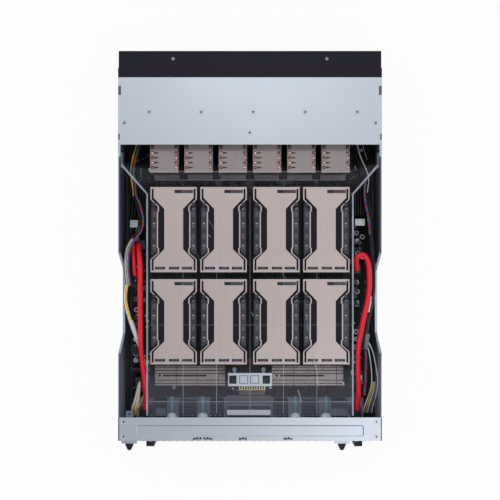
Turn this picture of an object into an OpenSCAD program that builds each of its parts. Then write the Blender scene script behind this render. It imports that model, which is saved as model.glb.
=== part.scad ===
// Four-unit GPU server: a rack chassis whose upper bay holds a slide-out sled with eight
// accelerator modules, and whose lower bay holds the mainboard and four power supplies.
// +X is to the right, +Y is the front with the fans, -Y is the rear. The origin is in the
// middle of the footprint, on the surface that the base stands on.

/* [Chassis] */
// Width between the outer faces of the side walls
body_w = 440; // [438:1:446]
// Depth from the front face to the rear edge of the walls
body_d = 650; // [640:1:760]
// Height of the closed chassis
body_h = 175; // [172:1:178]
// Thickness of the chassis sheet steel
wall_t = 1.2; // [1:0.1:1.4]
// Width of the lip folded inward along the top edge of each wall
lip_w = 3.9; // [3:0.1:5]
// Height of the underside of the deck between the two bays
deck_z = 44; // [43:0.5:47]
// Depth of the black frame round the front
frame_d = 44; // [30:1:50]
// Width of the border that the front frame folds round its opening
frame_rim = 6; // [4:1:9]
// Step by which the front part of the frame is narrower on each side
frame_step = 1.1; // [0.8:0.1:1.4]
// Depth of the top cover behind the front frame
cover_d = 112; // [105:1:125]
// Depth of the bridge across the rear edge
bridge_d = 38.7; // [34:0.1:42]
// Height of the rib pressed into the rear bridge
rib_h = 1; // [0.6:0.1:1.4]
// Thickness of the insulating liner inside each wall
liner_t = 0.5; // [0.3:0.1:0.8]

/* [Side notches] */
// Distance from the rear edge to the start of the notch in each wall
notch_rear = 145; // [130:1:160]
// Length of the notch at the top of the wall
notch_l = 169; // [150:1:190]
// Height of the floor of the notch
notch_z = 92; // [85:1:110]
// Run of each sloping end of the notch
notch_run = 28; // [20:1:36]
// Radius of the four bends of the notch
notch_r = 9; // [5:1:12]

/* [Fans] */
// Side of a square fan frame
fan_size = 80; // [78:1:80]
// Depth of a fan frame
fan_depth = 38; // [32:1:38]
// Distance between the centres of neighbouring fans
fan_pitch = 86.8; // [84:0.1:87]
// Number of fan columns
fan_columns = 5; // [5:1:5]
// Thickness of the walls of the fan cage
cage_t = 1; // [0.8:0.1:1.2]
// Diameter of a rotor hub
hub_d = 38; // [34:1:42]
// Number of blades on a rotor
blade_count = 5; // [3:1:6]
// Diameter of a rotor shaft
shaft_d = 4; // [3:0.5:5]
// Gap between the blade tips and the fan frame
tip_gap = 1; // [0.6:0.1:1.5]
// Distance across the flats of a grille cell
hex_flats = 12.2; // [11:0.1:12.8]
// Distance between the centres of neighbouring grille cells
hex_pitch = 14.2; // [13.6:0.1:15]

/* [Power supplies] */
// Width of a power supply
psu_w = 73.5; // [70:0.5:75]
// Height of a power supply
psu_h = 40; // [38:0.5:40.5]
// Length of a power supply inside the chassis
psu_l = 185; // [170:1:200]
// Reach of its handle behind the chassis
psu_handle = 16; // [12:1:18]

/* [GPU sled] */
// Gap between the sled and the side wall
sled_gap = 5; // [4:0.5:6]
// Gap under the sled, above the deck
runner_gap = 0.3; // [0.2:0.1:0.5]
// Thickness of the sled tray
tray_t = 1.5; // [1.2:0.1:2]
// Height of the folded sides of the tray
tray_side_h = 24; // [15:1:35]
// Height of the spacers under the baseboard
spacer_h = 6; // [5:0.5:8]
// Thickness of the baseboard
board_t = 3; // [2:0.2:4]
// Width of an accelerator module
gpu_w = 78.3; // [76:0.1:80]
// Length of an accelerator module
gpu_l = 143.7; // [140:0.1:145]
// Gap between modules of one pair of columns
gpu_gap = 5.9; // [5:0.1:7]
// Gap between the two middle columns
gpu_mid_gap = 10.9; // [9:0.1:13]
// Gap between the two rows of modules
gpu_row_gap = 11.7; // [10:0.1:14]
// Distance from the rear edge of the chassis to the rear row of modules
gpu_rear = 125.2; // [124:0.1:130]
// Distance from the top of the chassis down to the module covers
gpu_drop = 25; // [22:0.5:28]
// Thickness of a module cover
gpu_cover_t = 3; // [2.5:0.1:4]
// Width of the narrow frame round a module cover
gpu_frame_w = 2.1; // [1.8:0.1:3]

/* [Switch heatsinks] */
// Number of switch heatsinks in front of the modules
switch_n = 6; // [6:1:6]
// Width of a switch heatsink
switch_w = 47.8; // [44:0.1:50]
// Distance between their centres
switch_pitch = 58.1; // [56:0.1:60]
// Depth of a switch heatsink
switch_d = 90; // [70:1:92]
// Gap between the front row of modules and the switch heatsinks
switch_gap = 24.8; // [18:0.1:26]
// Distance from the top of the chassis down to the switch heatsinks
switch_drop = 35; // [30:1:40]
// Diameter of a copper heat pipe
pipe_d = 5; // [4:0.1:5.4]

/* [Air duct] */
// Thickness of the clear duct sheet
duct_t = 1.2; // [0.8:0.1:1.6]
// Gap between the outer modules and the duct walls
duct_gap = 4; // [3:0.1:5]
// Distance from the top of the chassis down to the duct sheet
duct_drop = 11; // [10:0.5:13]
// Width of the folded flange along the edges of the duct
duct_flange = 3.4; // [2.5:0.1:4.5]

/* [Rear fittings] */
// Reach of the ejector levers behind the chassis
lever_out = 19; // [18:0.5:24]
// Reach of the pull handles behind the chassis
handle_out = 14; // [12:0.5:17]
// Reach of the lever brackets behind the chassis
bracket_out = 9; // [8:0.5:11]
// Width of an ejector lever
lever_w = 14; // [12:0.5:16]
// Length of an ejector lever above its pin
lever_l = 60; // [50:1:64]
// Diameter of a lever pin
pin_d = 4; // [3:0.5:5]
// Diameter of the red power cables
red_d = 9; // [7:0.5:9]

/* [Rail holes] */
// Distance between the rail holes along a side wall
rail_span = 460; // [300:10:520]
// Distance between the rail holes up a side wall
rail_rise = 20; // [16:1:24]
// Diameter of a rail hole
rail_hole_d = 4.5; // [4:0.1:5]

/* [Hidden] */
$fn = 48;

// Overall places
y_front = (body_d + lever_out) / 2;
y_rear = y_front - body_d;
y_mid = (y_front + y_rear) / 2;
x_wall = body_w / 2;
x_in = x_wall - wall_t;
top_in = body_h - wall_t;
lip_t = 1.25 * wall_t;
bridge_z = body_h - rib_h;

// Fan bay
fit = 0.3;
fan_rows = 2;
fan_count = fan_columns * fan_rows;
fan_box = fan_size + fit;
row_step = fan_box + cage_t;
cage_front = y_front - frame_d - 4;
cage_rear = cage_front - fan_depth - 2;
bore_d = fan_size - 3;
rotor_gap = 0.05;
rotor_h = 26;
cup_h = 5;
flange_t = 4;

function fan_x(i) = (i % fan_columns - (fan_columns - 1) / 2) * fan_pitch;
function fan_z(i) = body_h / 2 + (floor(i / fan_columns) - (fan_rows - 1) / 2) * row_step;

// Lower bay
bay_h = deck_z - wall_t;
deck_top = deck_z + wall_t;
bay_front = cage_rear - 2;
psu_gap = 1.5;
psu_bay = psu_w + 2 * psu_gap + wall_t;
psu_z = wall_t + fit;
psu_wall_x = [x_in - 2 * psu_bay, x_in - psu_bay];
psu_x = [-x_in + psu_bay / 2, -x_in + 1.5 * psu_bay, x_in - 1.5 * psu_bay, x_in - psu_bay / 2];
io_half = x_in - 2 * psu_bay - wall_t / 2;
mb_z = wall_t + 5;
mb_t = 1.6;
mb_rear = y_rear + psu_l + 22;

// Sled
sled_x = x_in - sled_gap;
tray_z = deck_top + runner_gap;
tray_top = tray_z + tray_t;
tray_front = bay_front - 4;
board_z = tray_top + spacer_h;
board_top = board_z + board_t;
board_x = sled_x - 8;
board_rear = y_rear + 60;
board_front = tray_front - 8;
gpu_top = body_h - gpu_drop;
gpu_body_top = gpu_top - gpu_cover_t;
gpu_x1 = gpu_mid_gap / 2 + gpu_w / 2;
gpu_x2 = gpu_x1 + gpu_w + gpu_gap;
gpu_xs = [-gpu_x2, -gpu_x1, gpu_x1, gpu_x2];
gpu_y1 = y_rear + gpu_rear + gpu_l / 2;
gpu_ys = [gpu_y1, gpu_y1 + gpu_l + gpu_row_gap];
gpu_waist = 10.8;
gpu_screw_d = 5.6;
gpu_screw_h = 1.6;
gpu_screw_in = 6.15;
gpu_screw_back = 29;
switch_top = body_h - switch_drop;
switch_rear = gpu_ys[1] + gpu_l / 2 + switch_gap;
duct_z = body_h - duct_drop;
duct_x = gpu_x2 + gpu_w / 2 + duct_gap;
duct_bend = gpu_ys[1] + gpu_l / 2 - 11;
duct_mouth_x = x_in - 3;
duct_mouth_y = duct_bend + 48;
duct_rear = y_rear + bridge_d + 1.3;
duct_front = switch_rear + 1;
panel_y = y_rear + 1;
panel_top = body_h - 7;

// Rear fittings
lever_xs = [-203, 154.5];
handle_xs = [-168.5, 183];
lever_pin_z = deck_z + 52;
lever_pin_out = 5;
pin_gap = 0.1;

// Cord routes for an inner half width of route_x, with y measured from route_y in front of the rear edge
route_x = 218.8;
route_y = 325;
red_left = [[-190, 2, 110.4], [-190, 1.8, 124], [-189, -8, 135], [-187.5, -19, 138.5], [-186, -40, 139],
    [-186, -90, 138], [-185.5, -140, 137], [-184.5, -180, 136], [-181, -212, 136], [-178.5, -235, 136],
    [-177, -255, 132], [-179, -278.2, 124]];
red_stub = [[-199.6, 2, 110.4], [-199.6, 1.7, 120], [-199, -7, 124], [-198, -20, 126], [-197, -36, 124],
    [-196, -50, 118]];
red_right = [[182, -40, 112.4], [182, -38.6, 124], [181, -21, 139], [189, -14.5, 140], [197, -19, 139],
    [201, -32, 138], [202.5, -55, 137], [202, -75, 137], [198.5, -98, 137], [192, -125, 137],
    [188.5, -145, 137], [185.5, -160, 137], [183, -182, 137], [183, -206, 137], [184, -237, 136],
    [184, -256, 132], [183, -278.2, 124]];
loom_left_main = [[-192, 176, 100], [-199, 150, 108], [-202, 128, 112], [-199, 103, 114],
    [-197, 86, 120], [-190, 71, 126], [-184, 46, 128], [-187, 26, 131], [-197, 12, 133],
    [-206, -5, 131], [-209.5, -30, 124], [-209, -50, 116], [-207, -68, 112]];
loom_left_side = [[-209, -66, 118], [-211, -84, 121], [-206, -106, 121], [-199, -126, 120],
    [-194, -142, 118], [-194, -160, 112], [-196, -176, 104]];
loom_left_rear = [[-190, -235, 96.3], [-190, -235.3, 104], [-191, -246, 112], [-193, -262, 116],
    [-196, -276, 116], [-197, -290, 112]];
loom_right_main = [[181, 176, 100], [186, 154, 106], [197, 128, 110], [199.5, 114, 112],
    [197, 91, 118], [199, 70, 122], [203, 50, 124], [206, 20, 124], [208, -10, 123],
    [209, -40, 122], [209, -70, 121], [206, -95, 120], [202, -120, 119], [198, -145, 117],
    [197, -165, 117]];
loom_right_rear = [[197, -163, 118], [203, -180, 120], [207, -207, 121], [208, -232, 121],
    [204, -252, 119], [198, -270, 114], [193.5, -286, 108]];

// ---------------------------------------------------------------- helpers

function unit(v) = v / norm(v);

// Points of a closed outline whose corners [x, y, radius] are rounded by n chords each
function rounded(p, n = 4) = [for (i = [0 : len(p) - 1])
    let (c = [p[i][0], p[i][1]], r = p[i][2],
         a = p[(i + len(p) - 1) % len(p)], b = p[(i + 1) % len(p)],
         u = unit([a[0], a[1]] - c), v = unit([b[0], b[1]] - c),
         half = acos(max(-1, min(1, u * v))) / 2,
         reach = r / tan(half), centre = c + unit(u + v) * r / sin(half),
         from = c + u * reach - centre, to = c + v * reach - centre,
         a0 = atan2(from[1], from[0]), turn = atan2(to[1], to[0]) - a0,
         sweep = turn > 180 ? turn - 360 : turn < -180 ? turn + 360 : turn)
    each r == 0 ? [c] : [for (k = [0 : n]) centre + r * [cos(a0 + sweep * k / n), sin(a0 + sweep * k / n)]]];

// Corners of a rectangle with one radius, for rounded()
function box_corners(w, h, r) = [for (p = [[-1, -1], [1, -1], [1, 1], [-1, 1]])
    [p[0] * w / 2, p[1] * h / 2, r]];

// Puts a shape drawn in Y and Z into place and gives it a thickness toward +X
module along_x(t) {
    rotate([90, 0, 90]) linear_extrude(t) children();
}

// Puts a shape drawn in X and Z into place and gives it a thickness toward +Y
module along_y(t) {
    translate([0, t, 0]) rotate([90, 0, 0]) linear_extrude(t) children();
}

// A box given by its lower and upper corners
module block(a, b) {
    translate(a) cube(b - a);
}

// A copy on each side of the middle plane
module both_sides() {
    children();
    mirror([1, 0, 0]) children();
}

// A screw with its head's upper face at z = 0 and a shank below it
module screw(head_d, head_h, shank_d, shank_l) {
    translate([0, 0, -head_h]) cylinder(d = head_d, h = head_h);
    translate([0, 0, -head_h - shank_l]) cylinder(d = shank_d, h = shank_l + head_h / 2);
}

// Hexagonal holes in rows that fill a rectangle round the origin, clear of
// the solid patches [x, y, half width, half height] that are kept
module hex_field(w, h, kept = []) {
    reach = hex_flats / 2 + 1;
    rows = floor((h - hex_flats) / (hex_pitch * 0.866) / 2);
    for (j = [-rows : rows])
        let (odd = abs(j) % 2, cols = floor((w - hex_flats - odd * hex_pitch) / hex_pitch / 2))
            for (i = [-cols : cols + odd])
                let (x = (i - odd / 2) * hex_pitch, y = j * hex_pitch * 0.866,
                    hits = [for (k = kept)
                        if (abs(x - k[0]) < k[2] + reach && abs(y - k[1]) < k[3] + reach) k])
                    if (len(hits) == 0)
                        translate([x, y]) rotate(30) circle(d = hex_flats / 0.866, $fn = 6);
}

// Directions along a route, one for each of its points
function headings(p) = [for (i = [0 : len(p) - 1])
    unit(p[min(i + 1, len(p) - 1)] - p[max(i - 1, 0)])];

// A direction across the tube at each point, carried over from the point before so that it doesn't twist
function carried(h, s, i = 0) = i == len(h) ? [] :
    let (across = unit(s - h[i] * (s * h[i]))) concat([across], carried(h, across, i + 1));

// Points of a smooth curve through a route, n steps to a stretch
function smooth(p, n) = [for (i = [0 : len(p) - 2]) let (a = p[max(i - 1, 0)], b = p[i],
        c = p[i + 1], d = p[min(i + 2, len(p) - 1)])
        for (k = [0 : n - 1]) let (t = k / n)
            0.5 * (2 * b + (c - a) * t + (2 * a - 5 * b + 4 * c - d) * t * t
                + (3 * b - a - 3 * c + d) * t * t * t),
    p[len(p) - 1]];

// Children drawn at the places that the cord routes are measured from
module at_routes() {
    translate([0, y_rear + route_y, 0]) children();
}

// A round tube along a route, as one closed skin of rings
module cord(route, d, sides = 8, steps = 1) {
    beside_wall = [for (p = route) [p[0] + sign(p[0]) * (x_in - route_x), p[1], p[2]]];
    p = smooth(beside_wall, steps);
    h = headings(p);
    across = carried(h, [1, 0.1, 0.2]);
    rings = [for (i = [0 : len(p) - 1])
        let (side = across[i], up = cross(side, h[i]))
            for (k = [0 : sides - 1])
                p[i] + d / 2 * (cos(360 * k / sides) * side + sin(360 * k / sides) * up)];
    walls = [for (i = [0 : len(p) - 2]) for (k = [0 : sides - 1])
        let (k2 = (k + 1) % sides)
            [i * sides + k, i * sides + k2, (i + 1) * sides + k2, (i + 1) * sides + k]];
    polyhedron(rings, concat(walls, [[for (k = [sides - 1 : -1 : 0]) k]],
        [[for (k = [0 : sides - 1]) (len(p) - 1) * sides + k]]));
}

// ---------------------------------------------------------------- chassis

// Outline of a side wall seen from the side, up to the height top and beside the bridge up to rear_top
module wall_outline(top, rear_top) {
    a = y_rear + notch_rear;
    b = a + notch_l;
    polygon(rounded([[y_rear, 0, 0], [y_front - frame_d, 0, 0], [y_front - frame_d, top - wall_t, 0],
        [y_front - frame_d - cover_d, top - wall_t, 0], [y_front - frame_d - cover_d, top, 0],
        [b, top, notch_r], [b - notch_run, notch_z, notch_r],
        [a + notch_run, notch_z, notch_r], [a, top, notch_r], [y_rear + bridge_d, top, 0],
        [y_rear + bridge_d, rear_top, 0], [y_rear, rear_top, 0]]));
}

// The lip folded inward along the top edge of a wall
module wall_lip() {
    along_x(lip_w) difference() {
        wall_outline(body_h, bridge_z - wall_t);
        translate([0, -lip_t]) wall_outline(body_h, bridge_z - wall_t);
        translate([y_rear - 1, -1]) square([body_d + 2, notch_z - 2 * wall_t]);
    }
}

// The bolt holes for a slide rail in both side walls
module rail_holes() {
    for (y = [-1, 1], z = [-1, 1])
        translate([-x_wall - 1, y_mid + y * rail_span / 2, deck_z / 2 + z * rail_rise / 2])
            rotate([0, 90, 0]) cylinder(d = rail_hole_d, h = body_w + 2);
}

module chassis_tub() {
    tongue = 12;
    color("silver") difference() {
        union() {
            block([-x_wall, y_rear, 0], [x_wall, y_front - frame_d, wall_t]);
            both_sides() {
                translate([-x_wall, 0, 0]) along_x(wall_t) wall_outline(body_h, bridge_z);
                translate([-x_wall, 0, 0]) wall_lip();
                cover_catch();
                cover_tab();
                block([-x_in, y_front - frame_d - tongue, wall_t],
                    [-x_in + wall_t, y_front - frame_d + tongue - 2, body_h - 4 * wall_t]);
            }
        }
        rail_holes();
        for (x = [-3 : 3], y = [0 : 5])
            translate([x * 54, y_mid + 12 + y * 40, -1]) cylinder(d = 5, h = wall_t + 2);
    }
}

// Where each wall carries the upright catch behind the cover, as [from the front, length, bottom, top]
catch_at = [169, 18, 28, 5];

module cover_catch() {
    y1 = y_front - catch_at[0];
    block([-x_in - 0.2, y1 - catch_at[1], body_h - catch_at[2]],
        [-x_in + 6, y1, body_h - catch_at[3]]);
}

// A tab on each wall that a cover screw goes into
module cover_tab() {
    difference() {
        block([-x_in - 0.2, y_front - side_screw_d - 8, top_in - wall_t],
            [-x_in + 18, y_front - side_screw_d + 8, top_in]);
        translate([-side_screw_x, y_front - side_screw_d, top_in - 4]) cylinder(d = shank_d + 0.4, h = 6);
    }
}

module side_liners() {
    color("dimgray") both_sides() translate([-x_in, 0, 0]) along_x(liner_t) difference() {
        intersection() {
            translate([0, -wall_t - fit]) wall_outline(body_h, bridge_z - wall_t);
            translate([y_rear + 2, deck_top]) square([cage_rear - y_rear - 4, body_h]);
        }
        translate([y_front - catch_at[0] - catch_at[1] - 0.3, body_h - catch_at[2] - 0.3])
            square([catch_at[1] + 0.6, catch_at[2]]);
        translate([y_front - side_screw_d - 8.3, top_in - wall_t - 0.3]) square([16.6, 4]);
        for (i = [0 : 1])
            translate([y_rear + 452 + 10 * i, 120 + 6 * i]) circle(d = 5);
    }
}

module front_frame() {
    rim = wall_t;
    color("#1e2028") difference() {
        union() {
            block([-x_wall, y_front - frame_d, 0], [x_wall, y_front - 28, body_h]);
            block([-x_wall + frame_step, y_front - 29, 0], [x_wall - frame_step, y_front, body_h]);
        }
        block([-x_in, y_front - frame_d - 1, wall_t], [x_in, y_front - 28 - wall_t, top_in]);
        block([-x_in + frame_step, y_front - 30, wall_t], [x_in - frame_step, y_front - rim, top_in]);
        block([-x_in + frame_step + frame_rim, y_front - 5, wall_t + frame_rim],
            [x_in - frame_step - frame_rim, y_front + 1, top_in - frame_rim]);
        for (s = [-1, 1])
            translate([s * frame_screw_x, y_front - 13, top_in - 1]) screw_hole();
    }
}

frame_screw_x = 128.3;
side_screw_x = x_wall - 10.3;
side_screw_d = 120;
cover_screws = concat([for (i = [-2 : 2]) [5.4 + i * fan_pitch, 101.7]],
    [[-side_screw_x, side_screw_d], [side_screw_x, side_screw_d], [-0.5, 136]]);
bridge_screws = [for (sx = [-1, 1], d = [6.7, 31.5]) [sx * (x_in - 7.8), d]];
head_d = 7;
head_h = 0.6;
shank_d = 3;

// The counterbored hole of a flush screw, for a plate whose underside is 1 mm above the origin
module screw_hole() {
    cylinder(d = shank_d + 0.4, h = 4);
    translate([0, 0, 1 + wall_t - head_h]) cylinder(d = head_d + 0.4, h = 3);
}

module front_grille() {
    w = body_w - 2 * wall_t - 2 * frame_step;
    h = body_h - 2 * wall_t;
    color("#2a2c33") translate([0, y_front - 2 * wall_t, body_h / 2]) along_y(wall_t) difference() {
        square([w, h], center = true);
        hex_field(w - 2 * frame_rim, h - 2 * frame_rim);
    }
}

module top_cover() {
    y1 = y_front - frame_d;
    y0 = y1 - cover_d;
    color("#c3cbd6") difference() {
        translate([0, 0, top_in]) linear_extrude(wall_t) difference() {
            polygon([[-x_wall + 4, y0], [x_wall - 4, y0], [x_wall, y0 + 4], [x_wall, y1], [-x_wall, y1],
                [-x_wall, y0 + 4]]);
            for (s = [-1, 1]) {
                translate([s * x_wall - 5, y1 - 29.3]) square([10, 15]);
                translate([s * x_wall - 3, y0 + 8]) square([6, 10]);
            }
        }
        for (p = cover_screws) translate([p[0], y_front - p[1], top_in - 1]) screw_hole();
    }
}

module rear_bridge() {
    w = x_in - 0.6;
    between_lips = x_wall - lip_w - fit;
    count = 38;
    step = 2 * w / count;
    fingers = [for (i = [0 : count - 1], k = [0 : 3])
        [-w + i * step + k * step / 4, y_rear - 1 * sin(180 * k / 4)]];
    color("#c3cbd6") difference() {
        union() {
            translate([0, 0, bridge_z - wall_t]) linear_extrude(wall_t)
                polygon(concat(fingers, [[w, y_rear], [w, y_rear + bridge_d], [-w, y_rear + bridge_d]]));
            translate([0, y_rear + 16.5, bridge_z]) pressed_rib(380, 19, 4.5);
            block([-between_lips, y_rear, bridge_z - 5], [between_lips, y_rear + 0.8, bridge_z]);
        }
        for (x = [-87, -71, -12.5, 61.5])
            translate([x - 6, y_rear + 1.5, bridge_z - 3]) cube([12, 3.5, 6]);
        for (p = bridge_screws)
            translate([p[0], y_rear + p[1], bridge_z - 4]) cylinder(d = shank_d + 0.4, h = 6);
    }
}

// A rib pressed up out of a sheet, with sides that lean inward by rib_lean
module pressed_rib(w, l, r) {
    rib_lean = 1.6;
    hull() {
        translate([0, 0, -0.2]) linear_extrude(0.2) polygon(rounded(box_corners(w, l, r)));
        linear_extrude(rib_h) polygon(rounded(box_corners(w - 2 * rib_lean, l - 2 * rib_lean, r - rib_lean)));
    }
}

module mid_deck() {
    rail_w = 2;
    color("silver") difference() {
        union() {
            block([-x_in, y_rear, deck_z], [x_in, bay_front, deck_top]);
            both_sides() block([-x_in + liner_t + fit, y_rear + 4, deck_top],
                [-x_in + liner_t + fit + rail_w, bay_front - 4, deck_top + 9]);
            for (x = psu_wall_x, s = [-1, 1])
                block([s * x - wall_t / 2, y_rear + 1, wall_t],
                    [s * x + wall_t / 2, y_rear + psu_l + 8, deck_z]);
        }
        for (i = [-4 : 4], j = [0 : 3])
            translate([i * 44, y_rear + 265 + j * 62, deck_z - 1])
                linear_extrude(wall_t + 2) polygon(rounded(box_corners(26, 40, 8)));
    }
}

// ---------------------------------------------------------------- fans

module fan_cage() {
    top = top_in - fit;
    color("#9aa3ad") difference() {
        union() {
            block([-x_in + wall_t, cage_rear, wall_t], [x_in - wall_t, cage_front, top]);
            block([-x_in + 20, cage_rear - 14, top - wall_t], [x_in - 20, cage_rear + 1, top]);
        }
        for (i = [0 : fan_count - 1])
            block([fan_x(i) - fan_box / 2, cage_rear + 2, fan_z(i) - fan_box / 2],
                [fan_x(i) + fan_box / 2, cage_front + 1, fan_z(i) + fan_box / 2]);
        for (i = [0 : fan_count - 1])
            translate([fan_x(i), cage_rear - 1, fan_z(i)]) along_y(4) circle(d = bore_d);
        for (i = [0 : fan_columns - 2]) for (k = [0 : 1])
            block([fan_x(i) + fan_box / 2 + cage_t, cage_rear + cage_t,
                    fan_z(k * fan_columns) - fan_box / 2 + 2],
                [fan_x(i) + fan_pitch - fan_box / 2 - cage_t, cage_front + 1,
                    fan_z(k * fan_columns) + fan_box / 2 - 2]);
        both_sides() block([-x_wall, cage_rear - 1, top_in - lip_t - fit],
            [-x_wall + lip_w + fit, cage_front + 1, body_h]);
        for (p = cover_screws) if (p[1] > 95 && p[1] < 110 && abs(p[0]) < x_in - 20)
            translate([p[0], y_front - p[1], top - 8]) cylinder(d = shank_d + 0.4, h = 20);
    }
}

module fan_housing() {
    color("#17181b") difference() {
        union() {
            for (y = [0, fan_depth - flange_t])
                translate([0, y, 0]) along_y(flange_t) difference() {
                    polygon(rounded(box_corners(fan_size, fan_size, 5)));
                    for (sx = [-1, 1], sz = [-1, 1])
                        translate([sx, sz] * (fan_size / 2 - 4.2)) circle(d = 4.3);
                }
            along_y(fan_depth) circle(d = fan_size - 0.4);
        }
        translate([0, -1, 0]) along_y(fan_depth + 2) circle(d = bore_d);
    }
    color("#17181b") {
        along_y(cup_h) circle(d = hub_d - 4);
        along_y(rotor_h + cup_h - 3) circle(d = shaft_d);
        for (a = [20 : 90 : 290])
            rotate([0, a, 0]) block([hub_d / 2 - 4, 0, -2], [bore_d / 2 + 0.5, cup_h - 1, 2]);
    }
}

module fan_housings() {
    for (i = [0 : fan_count - 1])
        translate([fan_x(i), cage_rear + 2, fan_z(i) - fit / 2]) fan_housing();
}

module fan_rotor(i) {
    tip = bore_d / 2 - tip_gap;
    chord = 24;
    span_in = hub_d / 2 - 1.4;
    span_out = sqrt(pow(tip, 2) - pow(chord * 0.45, 2));
    blade = [[-12, -0.6], [-6, 1.6], [2, 2.6], [12, 0.4], [2, 1.2], [-6, 0.4]];
    color("#202226") translate([fan_x(i), cage_rear + 2 + cup_h + 1, fan_z(i) - fit / 2]) {
        difference() {
            union() {
                along_y(rotor_h - 2) circle(d = hub_d);
                translate([0, rotor_h - 2, 0]) rotate([-90, 0, 0])
                    cylinder(d1 = hub_d, d2 = hub_d - 4, h = 2);
            }
            translate([0, -1, 0]) along_y(rotor_h - 3) difference() {
                circle(d = hub_d - 5);
                circle(d = shaft_d + 6);
            }
            translate([0, -1, 0]) along_y(rotor_h - 1) circle(d = shaft_d + 2 * rotor_gap);
        }
        for (k = [0 : blade_count - 1])
            rotate([0, k * 360 / blade_count, 0]) translate([0, rotor_h / 2, span_in])
                linear_extrude(span_out - span_in, twist = -28, slices = 4, segments = 6)
                    rotate(58) polygon(blade * chord / 24);
    }
}

// ---------------------------------------------------------------- lower bay

module mainboard() {
    color("#20352b") difference() {
        union() {
            block([-x_in + 14, mb_rear, mb_z], [x_in - 14, bay_front - 8, mb_z + mb_t]);
            block([-io_half + 2, y_rear + 8, mb_z], [io_half - 2, mb_rear + 1, mb_z + mb_t]);
        }
        for (x = [-150, 150], y = [30, 150])
            translate([x, mb_rear + y, mb_z - 1]) cylinder(d = 3.6, h = mb_t + 2);
    }
    color("#b5a04a") for (x = [-150, 150], y = [30, 150]) translate([x, mb_rear + y, wall_t]) {
        cylinder(d = 7, h = mb_z - wall_t, $fn = 6);
        cylinder(d = 3.4, h = mb_z - wall_t + mb_t);
    }
}

cpu_xs = [-72, 72];
cpu_y = mb_rear + 96;

module cpu_heatsinks() {
    w = 78;
    h = deck_z - mb_z - mb_t - 2;
    color("#b9bec6") for (x = cpu_xs)
        translate([x, cpu_y - 54, mb_z + mb_t]) along_y(108) difference() {
            translate([-w / 2, 0]) square([w, h]);
            for (i = [-9 : 9]) translate([i * 4 - 1.3, 7]) square([2.6, h]);
        }
}

module memory_modules() {
    color("#2c5c3e") for (x = cpu_xs, s = [-1, 1], i = [0 : 3])
        block([x + s * (46 + i * 6.5) - 0.8, cpu_y - 66, mb_z + mb_t + 3],
            [x + s * (46 + i * 6.5) + 0.8, cpu_y + 66, mb_z + mb_t + 30]);
    color("#1a1a1c") for (x = cpu_xs, s = [-1, 1], i = [0 : 3])
        difference() {
            block([x + s * (46 + i * 6.5) - 2.8, cpu_y - 71, mb_z + mb_t],
                [x + s * (46 + i * 6.5) + 2.8, cpu_y + 71, mb_z + mb_t + 9]);
            block([x + s * (46 + i * 6.5) - 0.8, cpu_y - 66, mb_z + mb_t + 3],
                [x + s * (46 + i * 6.5) + 0.8, cpu_y + 66, mb_z + mb_t + 12]);
        }
}

port_z = mb_z + mb_t;
ports = [[-44, 16, 13.5], [-25, 16, 13.5], [-7, 14, 16], [18, 31, 12.5]];

module rear_io_panel() {
    color("silver") translate([0, y_rear + 1, 0]) along_y(wall_t) difference() {
        translate([-io_half + wall_t / 2, wall_t]) square([2 * io_half - wall_t, bay_h]);
        for (p = ports) translate([p[0] - p[1] / 2 - 0.2, port_z - 0.2]) square([p[1] + 0.4, p[2] + 0.4]);
        translate([44, port_z + 7]) circle(d = button_d + 0.6);
        translate([-4, deck_z - 9]) hex_strip();
    }
}

button_d = 7;

// Two staggered rows of small vent cells
module hex_strip() {
    for (j = [0 : 1], i = [-6 : 6])
        translate([(i + j / 2) * 6.4, j * 5.6]) rotate(30) circle(d = 5.6, $fn = 6);
}

module io_ports() {
    color("#8d949c") for (p = ports) difference() {
        block([p[0] - p[1] / 2, y_rear + 0.4, port_z], [p[0] + p[1] / 2, y_rear + 19, port_z + p[2]]);
        block([p[0] - p[1] / 2 + 1, y_rear, port_z + 1],
            [p[0] + p[1] / 2 - 1, y_rear + 13, port_z + p[2] - 1]);
    }
    color("#333333") difference() {
        block([38, y_rear + 8.5, port_z], [50, y_rear + 20, port_z + 14]);
        translate([44, y_rear + 8, port_z + 7]) along_y(8) circle(d = 3.2);
    }
}

module power_button() {
    color("#d8dade") translate([44, 0, port_z + 7]) {
        translate([0, y_rear - 0.8, 0]) along_y(6.3) circle(d = button_d);
        translate([0, y_rear + 5, 0]) along_y(9) circle(d = 3);
    }
}

module power_board() {
    y = y_rear + psu_l + 12;
    color("#20352b") for (s = [-1, 1])
        block([s * (x_in - psu_bay) - psu_bay + 2, y, wall_t],
            [s * (x_in - psu_bay) + psu_bay - 2, y + 2.4, deck_z - 2]);
    color("#26272b") for (x = psu_x) difference() {
        block([x - 28, y - 7, psu_z + 8], [x + 28, y, psu_z + 24]);
        block([x - 25, y - 8, psu_z + 13.7], [x + 25, y - 1, psu_z + 16.3]);
    }
    color("#c98f45") for (s = [-1, 1], i = [0 : 2])
        block([s * (x_in - psu_bay) - 18 + i * 14, y + 2.4, mb_z + mb_t],
            [s * (x_in - psu_bay) - 10 + i * 14, mb_rear + 14, mb_z + mb_t + 4]);
}

// The thumb tab of the spring latch beside the handle
module psu_latch(back) {
    translate([psu_w / 2 - 5, 0, psu_h / 2 - 4.5]) linear_extrude(9)
        polygon(rounded([[0, back + 1, 0], [0, back - 7, 1], [2.6, back - 9, 1], [2.6, back + 1, 0]]));
}

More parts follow.
